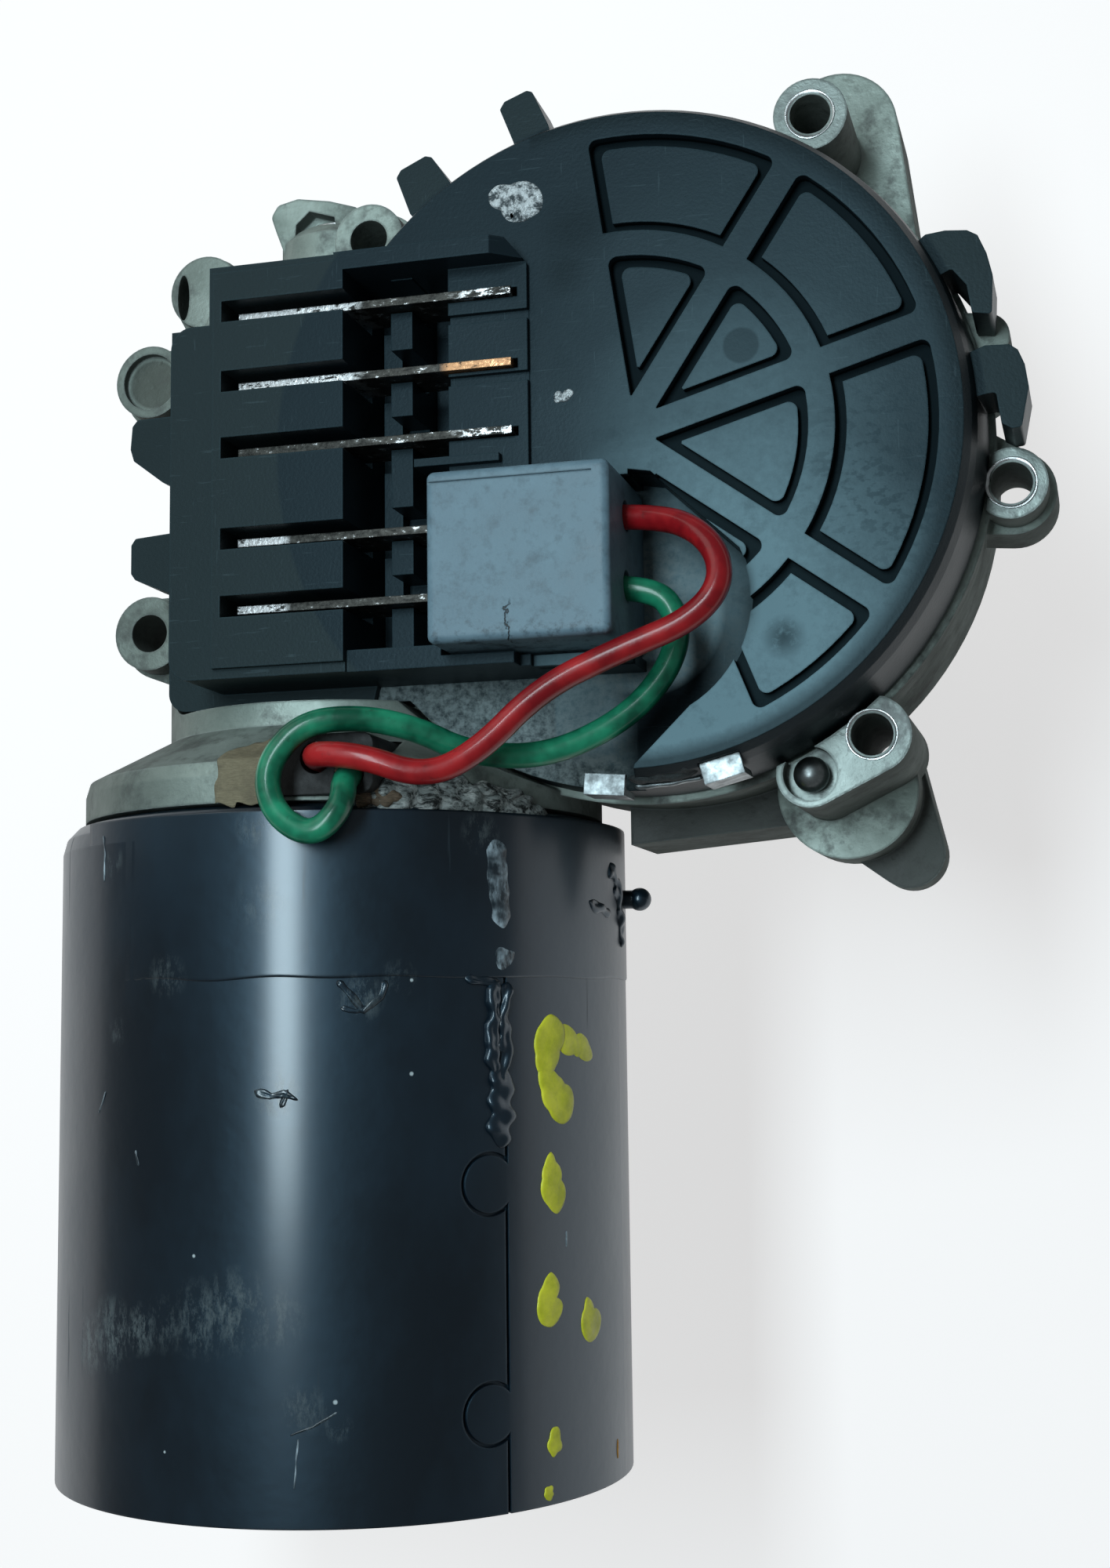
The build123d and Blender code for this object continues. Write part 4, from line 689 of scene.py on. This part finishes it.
def bead(path, ups, half_width, height, seed, ragged, rows):
    """A lumpy strip along a path: an oval section, flat to the surface, whose size wanders
    with the distance along and round it, and which shrinks to nothing at both ends."""
    path, ups = np.asarray(path, float), np.asarray(ups, float)
    reach = np.concatenate([[0], np.cumsum(np.linalg.norm(np.diff(path, axis=0), axis=1))])
    s = np.linspace(0, reach[-1], rows)
    line = np.stack([np.interp(s, reach, path[:, i]) for i in range(3)], axis=1)
    up = np.stack([np.interp(s, reach, ups[:, i]) for i in range(3)], axis=1)
    along = np.gradient(line, axis=0)
    side = np.cross(along, up)
    side = side / np.linalg.norm(side, axis=1, keepdims=True)
    up = np.cross(side, along)
    up = up / np.linalg.norm(up, axis=1, keepdims=True)
    t = np.linspace(0, 2 * math.pi, 28, endpoint=False)[None, :]
    end = np.clip(np.minimum(s, reach[-1] - s) / (1.2 * half_width), 0.02, 1)[:, None] ** 0.5
    size = end * (1 + ragged * wobble(s[:, None] * 1.6, 2.2 * np.cos(t) + 0 * s[:, None], seed))
    wide = half_width * size * np.cos(t)
    tall = height * size * np.maximum(np.sin(t), -0.25)
    return closed_grid(line[:, None] + side[:, None] * wide[..., None] + up[:, None] * tall[..., None])


def strip(place, line, rise, half_width, height, seed, ragged, rows):
    """A bead along places on a curved surface, standing out from it."""
    line = np.array(line, float)
    up = place(line[:, 0], line[:, 1], 0.0) - place(line[:, 0], line[:, 1], -1.0)
    return bead(place(line[:, 0], line[:, 1], rise), up, half_width, height, seed, ragged, rows)


def strips(place, rows):
    """Several strips, one for each row of settings."""
    return [strip(place, *row) for row in rows]


def sleeve(front, rear, first, last, thick, seed):
    """A thin band on the can: a flat closed section along Y, swept round it, its rear edge uneven
    and its thickness growing as the square of the angle over its first 44 degrees."""
    arc = np.linspace(first, last, 150)[:, None]
    back = rear + 0.18 * wobble(arc / 7, 0 * arc, seed)
    share = np.array([0.0, 0.0, 0.01, 0.02, 0.04, 0.3, 0.7, 0.96, 0.98, 0.99, 1.0, 1.0, 0.5])[None, :]
    level = np.array([-0.1, 0.7, 1.0, 1.0, 1.0, 1.0, 1.0, 1.0, 1.0, 1.0, 0.6, -0.1, -0.1])[None, :]
    growth = np.clip(np.abs(arc - first) / 44, 0, 1) ** 2
    rise = np.where(level > 0, level * thick * growth - 0.02, -SUNK)
    return closed_grid(on_can(arc, front + (back - front) * share, rise + 0 * arc))


def mouth_ring(x, y, level, inner, outer, seed):
    """A bright cut edge round a hole's mouth: a flat oval section carried round a circle,
    its width wandering a little."""
    around = np.linspace(0, 2 * math.pi, 73)[:, None]
    t = np.linspace(0, 2 * math.pi, 10, endpoint=False)[None, :]
    half = (outer - inner) / 2 * (1 + 0.22 * wobble(2 * np.cos(around), 2 * np.sin(around), seed))
    r = (inner + outer) / 2 + half * np.cos(t)
    z = level - 0.05 + 0.1 * np.sin(t) + 0.12 * np.cos(t) + 0 * around
    points = np.stack([x + r * np.cos(around), y + r * np.sin(around), z], axis=-1)
    return points.reshape(-1, 3), [quads(*points.shape[:2], True)]


def scrap(place, corners, curl, seed):
    """A torn scrap of paper on a surface: a sheet spread evenly between four corners, its edges ragged,
    that lifts with the square of the distance from its middle and wrinkles."""
    u, v = np.meshgrid(np.linspace(0, 1, 40), np.linspace(0, 1, 40), indexing="ij")
    c = np.asarray(corners, float)
    flat = ((1 - u) * (1 - v))[..., None] * c[0] + (u * (1 - v))[..., None] * c[1]
    flat = flat + (u * v)[..., None] * c[2] + ((1 - u) * v)[..., None] * c[3]
    a, b = flat[..., 0], flat[..., 1]
    rim = (2 * np.abs(u - 0.5)) ** 6 + (2 * np.abs(v - 0.5)) ** 6
    ragged = rim * wobble(a * 0.8, b * 1.8, seed)
    lift = curl * ((u - 0.5) ** 2 + 0.8 * (v - 0.45) ** 2) + 0.12 * wobble(a * 0.5, b, seed + 1)
    points = place(a + 0.5 * ragged, b + 0.25 * ragged, np.maximum(lift, 0.0) + 0.15)
    return points.reshape(-1, 3), quads(*points.shape[:2], False).tolist()


# ---------------------------------------------------------------- objects
def new_mesh(name, corners, faces):
    """A mesh from corners in millimetres and lists of their numbers."""
    mesh = bpy.data.meshes.new(name)
    mesh.from_pydata((corners * MM).tolist(), [], faces)
    return mesh


def show(mesh, finish, thickness=0.0):
    """Puts a smooth mesh in the scene, riding on the housing; an open sheet gets a thickness."""
    mesh.polygons.foreach_set("use_smooth", np.ones(len(mesh.polygons), dtype=bool))
    mesh.materials.append(finish)
    made = link(bpy.data.objects.new(mesh.name, mesh))
    if thickness > 0:
        made.modifiers.new("thickness", "SOLIDIFY").thickness = thickness * MM
    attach(made, BODY)


def piece(name, shapes, finish):
    """One object of several closed shapes, its faces outwards."""
    faces, start = [], 0
    for corners, parts in shapes:
        for part in parts:
            faces += (start + part).tolist()
        start += len(corners)
    mesh = new_mesh(name, np.concatenate([corners for corners, parts in shapes]), faces)
    work = bmesh.new()
    work.from_mesh(mesh)
    bmesh.ops.remove_doubles(work, verts=work.verts, dist=1e-7)
    bmesh.ops.recalc_face_normals(work, faces=work.faces)
    work.to_mesh(mesh)
    work.free()
    show(mesh, finish)


def lead(name, node, route, finish):
    """A free lead: one NURBS spline through the route's control points, with a round section."""
    curve = bpy.data.curves.new(name, "CURVE")
    curve.dimensions = "3D"
    curve.bevel_depth = LEAD / 2 * MM
    curve.bevel_resolution = 6
    curve.use_fill_caps = True
    curve.resolution_u = 16
    spline = curve.splines.new("NURBS")
    points = [(*metres((x, y, FACE + rise)), 1) for x, y, rise in route]
    spline.points.add(len(points) - 1)
    spline.points.foreach_set("co", np.ravel(points))
    spline.order_u = 3
    spline.use_endpoint_u = True
    curve.materials.append(finish)
    made = link(bpy.data.objects.new(name, curve))
    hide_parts(node)
    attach(made, BODY)


# ---------------------------------------------------------------- leads: X, Y, height above FACE
RED_ROUTE = (
    (-4.2, -8.3, 0.6), (3.4, -8.3, 0.6), (9.2, -11.7, 4.3), (10.9, -16.3, 5.6), (7.9, -20.1, 6.0),
    (0.8, -22.7, 6.5), (-6.7, -26.1, 7.5), (-12.7, -32.3, 9.0), (-17.5, -34.5, 10.5), (-23.4, -32.2, 11.8),
    (-29.3, -31.8, 11.5), (-29.3, -31.8, LEAD_MOUTH))
GREEN_ROUTE = (
    (-4.2, -15.3, 0.6), (2.7, -15.3, 0.6), (5.5, -18.7, 0.3), (4.3, -23.4, -0.6), (-0.1, -28.4, 0.2),
    (-7.5, -32.0, 2.2), (-14.7, -31.7, 4.8), (-19.4, -29.2, 7.0), (-24.7, -28.1, 9.2), (-29.9, -28.8, 10.8),
    (-33.2, -33.0, 11.4), (-32.0, -37.5, 12.2), (-27.9, -40.0, 12.6), (-25.0, -37.2, 12.0),
    (-25.8, -33.4, 9.5), (-25.8, -33.4, LEAD_MOUTH))

make_camera()
lead("red_wire", "red_lead", RED_ROUTE,
     insulation("red_insulation", tone(0.23, 0.005, 0.009), tone(0.46, 0.015, 0.018), 1))
lead("green_wire", "green_lead", GREEN_ROUTE,
     insulation("green_insulation", tone(0.003, 0.080, 0.042), tone(0.018, 0.30, 0.155), 6))
make_studio()

# ---------------------------------------------------------------- finishes of the solids
BY_SLOT = {
    "cast_aluminium": cast_metal(),
    "black_plastic": moulded_black(),
    "can_paint": gloss_paint(),
    "bare_steel": plain_metal("bright_steel", tone(0.60, 0.62, 0.62), tone(0.30, 0.31, 0.31), 0.28, 2.2),
    "core_steel": plain_metal("core_steel", tone(0.20, 0.20, 0.21), tone(0.10, 0.09, 0.085), 0.42, 4,
                              (1, 12, 1)),
    "copper": plain_metal("copper", tone(0.66, 0.31, 0.16), tone(0.33, 0.13, 0.07), 0.34, 1.6),
    "brass": plain_metal("brass", tone(0.68, 0.50, 0.22), tone(0.40, 0.27, 0.12), 0.33, 1.8),
    "tinned_blade": tinned(),
    "carbon": plain_body("carbon", tone(0.030, 0.030, 0.031), tone(0.012, 0.012, 0.012), 0.5, 1.0),
    "ferrite": plain_body("ferrite", tone(0.060, 0.060, 0.064), tone(0.028, 0.027, 0.028), 0.55, 3.0, 0.04),
    "white_plastic": plain_body("acetal", tone(0.72, 0.69, 0.58), tone(0.58, 0.54, 0.42), 0.32, 6.0),
    "plug_plastic": pale_plug(),
    "rubber": plain_body("rubber", tone(0.020, 0.021, 0.022), tone(0.008, 0.008, 0.008), 0.6, 1.6, 0.05),
}
clip_steel = plain_metal("clip_steel", tone(0.36, 0.40, 0.41), tone(0.15, 0.165, 0.17), 0.36, 1.8)
dull_steel = plain_metal("pad_ball", tone(0.33, 0.36, 0.36), tone(0.16, 0.175, 0.175), 0.3, 1.5)
OWN = {
    "armature_windings": wound_copper(),
    "output_shaft": plain_metal("turned_steel", tone(0.50, 0.51, 0.52), tone(0.28, 0.28, 0.28), 0.24, 3.0,
                                (1, 1, 14)),
    "pad_ball": dull_steel,
    "can_rivet": dull_steel,
    "cover_clip_1": clip_steel,
    "cover_clip_2": clip_steel,
}
for row in frame["record"]["subparts"]:
    finish = OWN.get(row["node"], BY_SLOT.get(row["material_slot"]))
    if finish is not None:
        node = frame["nodes"][row["node"]]
        node.data.materials.clear()
        node.data.materials.append(finish)

# ---------------------------------------------------------------- paint marks on the can
# Outlines in degrees round the can and place along it, each with its thickness
YELLOW_OUTLINES = (
    (((27.9, -56.6), (30.5, -57.6), (32.1, -58.9), (32.0, -60.7), (31.4, -62.6), (28.6, -63.3),
      (26.8, -62.2), (25.4, -60.4), (24.0, -57.9), (25.8, -57.0)), 0.24),
    (((31.4, -62.0), (30.7, -64.2), (28.7, -66.3), (26.6, -67.5), (24.3, -67.8), (22.2, -67.2),
      (22.0, -64.1), (24.2, -63.6), (26.2, -62.7), (28.5, -61.9)), 0.24),
    (((25.6, -57.6), (20.3, -58.8), (17.3, -58.9), (15.6, -59.8), (14.1, -61.3), (17.7, -61.5),
      (19.3, -61.1), (21.2, -60.8), (25.6, -60.4)), 0.13),
    (((28.0, -70.0), (30.1, -71.4), (30.7, -72.9), (29.2, -75.6), (26.7, -76.6), (24.1, -74.4),
      (25.5, -73.1), (27.2, -71.1)), 0.2),
    (((28.6, -81.7), (30.9, -83.1), (32.3, -84.7), (31.4, -86.8), (28.6, -87.3), (26.4, -86.5),
      (25.3, -85.3), (27.4, -84.4), (26.3, -83.3)), 0.2),
    (((18.1, -84.7), (18.9, -85.9), (20.1, -87.5), (17.2, -89.5), (13.6, -88.7), (12.5, -87.2),
      (15.6, -86.1)), 0.18))
marks = [daub(on_can, rim, (CAN_DEGREES, 1.0), thick, 11 + n)
         for n, (rim, thick) in enumerate(YELLOW_OUTLINES)]
marks.append(can_dab(28.2, -98.2, 0.95, 1.35, 0, 0.18, 19, 0.16))
marks.append(can_dab(29.8, -102.8, 0.7, 0.7, 20, 0.12, 20, 0.2))
piece("yellow_marks", marks,
      marking_paint("yellow_paint", tone(0.90, 0.88, 0.060), tone(0.62, 0.64, 0.030), 2))
piece("orange_tick", [can_dab(5.4, -100.8, 0.22, 0.95, 0, 0.1, 21)],
      marking_paint("orange_paint", tone(0.62, 0.30, 0.03), tone(0.40, 0.17, 0.02), 5))

# ---------------------------------------------------------------- paint band, seam and damage on the can
# Strips: places (degrees and Y), rise, half width, height, seed, raggedness, sections
# The seam smears are raised gloss strips whose pale colour is a painted highlight of the lamp.
SEAM_SMEARS = (
    (((40.9, -39.0), (40.4, -43.0), (39.8, -46.4), (39.4, -48.9)), -0.1, 1.35, 0.36, 42, 0.07, 110),
    (((40.9, -49.7), (39.4, -51.2), (37.8, -52.9)), -0.1, 1.6, 0.36, 43, 0.2, 80))
SEAM_BEADS = (
    (((41.4, -53.3), (41.6, -56.4), (42.2, -59.5), (41.4, -62.5)), 0.0, 0.75, 0.6, 44, 0.35, 90),
    (((38.4, -53.6), (39.6, -57.0), (39.0, -60.4), (40.4, -63.6)), 0.0, 0.7, 0.5, 45, 0.4, 90),
    (((40.8, -61.5), (40.0, -66.3), (40.0, -69.6)), 0.0, 1.35, 0.55, 46, 0.3, 80),
    (((47.5, -53.2), (43.5, -53.6), (40.0, -53.7)), 0.0, 0.45, 0.3, 47, 0.3, 50),
    (((15.6, -45.2), (10.4, -45.8), (5.5, -46.2)), 0.0, 0.6, 0.4, 48, 0.4, 50),
    (((5.6, -41.0), (1.5, -43.0), (-0.9, -45.4), (-3.0, -49.7)), 0.0, 0.9, 0.5, 49, 0.45, 80))
CHIPS = (
    (((86.0, -63.7), (83.0, -64.2), (80.6, -64.0), (78.0, -64.6)), 0.0, 0.32, 0.2, 61, 0.5, 60),
    (((79.8, -63.6), (81.2, -65.3)), 0.0, 0.3, 0.22, 62, 0.5, 40),
    (((71.0, -53.4), (68.6, -54.8), (66.4, -56.3), (63.3, -54.9), (62.3, -53.4)),
     0.0, 0.35, 0.24, 63, 0.4, 80),
    (((70.4, -56.0), (66.8, -56.4)), 0.0, 0.25, 0.16, 64, 0.4, 40))
SCRATCHES = (
    (((79.3, -95.5), (75.2, -94.7), (71.1, -93.4)), 0.0, 0.11, 0.06, 65, 0.5, 60),
    (((78.6, -100.3), (78.2, -97.5), (77.9, -95.8)), 0.0, 0.07, 0.05, 66, 0.5, 50),
    (((122.4, -38.3), (121.8, -40.2), (121.9, -43.0)), 0.0, 0.12, 0.06, 67, 0.5, 50),
    (((111.4, -69.4), (110.6, -70.9)), 0.0, 0.14, 0.06, 68, 0.5, 30),
    (((122.9, -66.0), (120.5, -63.8)), 0.0, 0.12, 0.06, 69, 0.5, 30),
    (((24.1, -78.1), (24.2, -79.7)), 0.0, 0.12, 0.06, 70, 0.4, 30))
black_paint = BY_SLOT["can_paint"]
piece("front_band", [sleeve(-36.9, -53.1, 128.0, -30.0, 0.14, 31)], black_paint)
# pale painted highlight on the seam smears
piece("seam_smear_highlight", strips(on_can, SEAM_SMEARS), seam_highlight_and_scratch_paint())
piece("seam_bead", strips(on_can, SEAM_BEADS), black_paint)
piece("paint_chips", strips(on_can, CHIPS), black_paint)
piece("fine_scratches", strips(on_can, SCRATCHES), seam_highlight_and_scratch_paint())

# ---------------------------------------------------------------- residue on the cover, cut hole edges
FOIL = (
    (-13.8, 26.6), (-13.0, 27.3), (-11.4, 27.2), (-10.2, 27.5), (-8.6, 27.0), (-7.8, 25.6), (-7.9, 24.2),
    (-9.1, 23.4), (-10.7, 23.0), (-11.9, 23.5), (-12.4, 24.6), (-13.6, 25.3))
FOIL_CHIP = (
    (-7.1, 4.4), (-6.7, 5.2), (-6.1, 4.8), (-5.5, 5.3), (-4.9, 4.9), (-5.3, 4.3), (-6.3, 4.0), (-6.9, 3.9))
flakes = [daub(on_face, FOIL, (1, 1), 0.22, 51, 0.22), daub(on_face, FOIL_CHIP, (1, 1), 0.16, 56, 0.15)]
piece("silver_flakes", flakes, flaked_paint())
BOSS_MOUTHS = ((18.3, 34.3, HIGH_PAD), (36.9, -5.3, LOW_PAD), (22.7, -29.9, HIGH_PAD))
MOUTH_INNER, MOUTH_OUTER = 2.12, 2.62
rings = [mouth_ring(x, y, level, MOUTH_INNER, MOUTH_OUTER, 60 + n)
         for n, (x, y, level) in enumerate(BOSS_MOUTHS)]
piece("cut_edges", rings, plain_metal("fresh_cut", tone(0.78, 0.80, 0.80), tone(0.50, 0.52, 0.52), 0.25, 1.0))

# ---------------------------------------------------------------- sealant and paper on the flange
SEALANT = (
    (((67.0, -35.2), (60.0, -35.4), (52.0, -35.6), (43.0, -36.2), (33.0, -36.7), (23.5, -37.0)),
     0.35, 1.65, 1.15, 71, 0.32, 170),
    (((52.0, -33.9), (44.0, -34.4), (35.0, -34.9), (28.0, -35.2)), 0.1, 0.8, 0.8, 72, 0.5, 110),
    (((71.0, -34.4), (66.0, -35.6), (61.0, -36.4)), 0.2, 0.9, 0.9, 73, 0.5, 80))
SHREDS = (
    (((72.5, -33.0), (69.5, -33.3), (67.0, -34.2), (66.0, -35.6), (67.2, -36.7)),
     1.2, 0.75, 0.45, 74, 0.3, 80),
    (((66.0, -34.6), (63.5, -35.6), (60.5, -35.2), (58.0, -36.0)), 0.9, 0.8, 0.6, 75, 0.5, 70))
SCRAP_CORNERS = ((95.6, -36.0), (83.5, -36.2), (86.0, -28.9), (95.4, -30.4))
piece("sealant", strips(on_cone, SEALANT), dried_sealant())
kraft = brown_paper("brown_paper", tone(0.15, 0.125, 0.075), tone(0.26, 0.225, 0.145))
piece("paper_shreds", strips(on_cone, SHREDS),
      brown_paper("torn_shreds", tone(0.045, 0.030, 0.020), tone(0.30, 0.21, 0.14)))
show(new_mesh("paper_scrap", *scrap(on_cone, SCRAP_CORNERS, 1.3, 81)), kraft, 0.15)

# ---------------------------------------------------------------- grime and a wire at the cover's edge
piece("edge_grime", [bead(*on_shoulder(33.95, -1.9, -90.8, -79.0), 1.0, 0.35, 91, 0.3, 90)],
      plain_body("edge_grime", tone(0.050, 0.066, 0.068), tone(0.008, 0.012, 0.013), 0.6, 0.9, 0.25))
piece("edge_wire", [bead(*on_shoulder(34.5, -4.0, -90.6, -79.0), 0.28, 0.28, 92, 0.2, 70)],
      clip_steel)
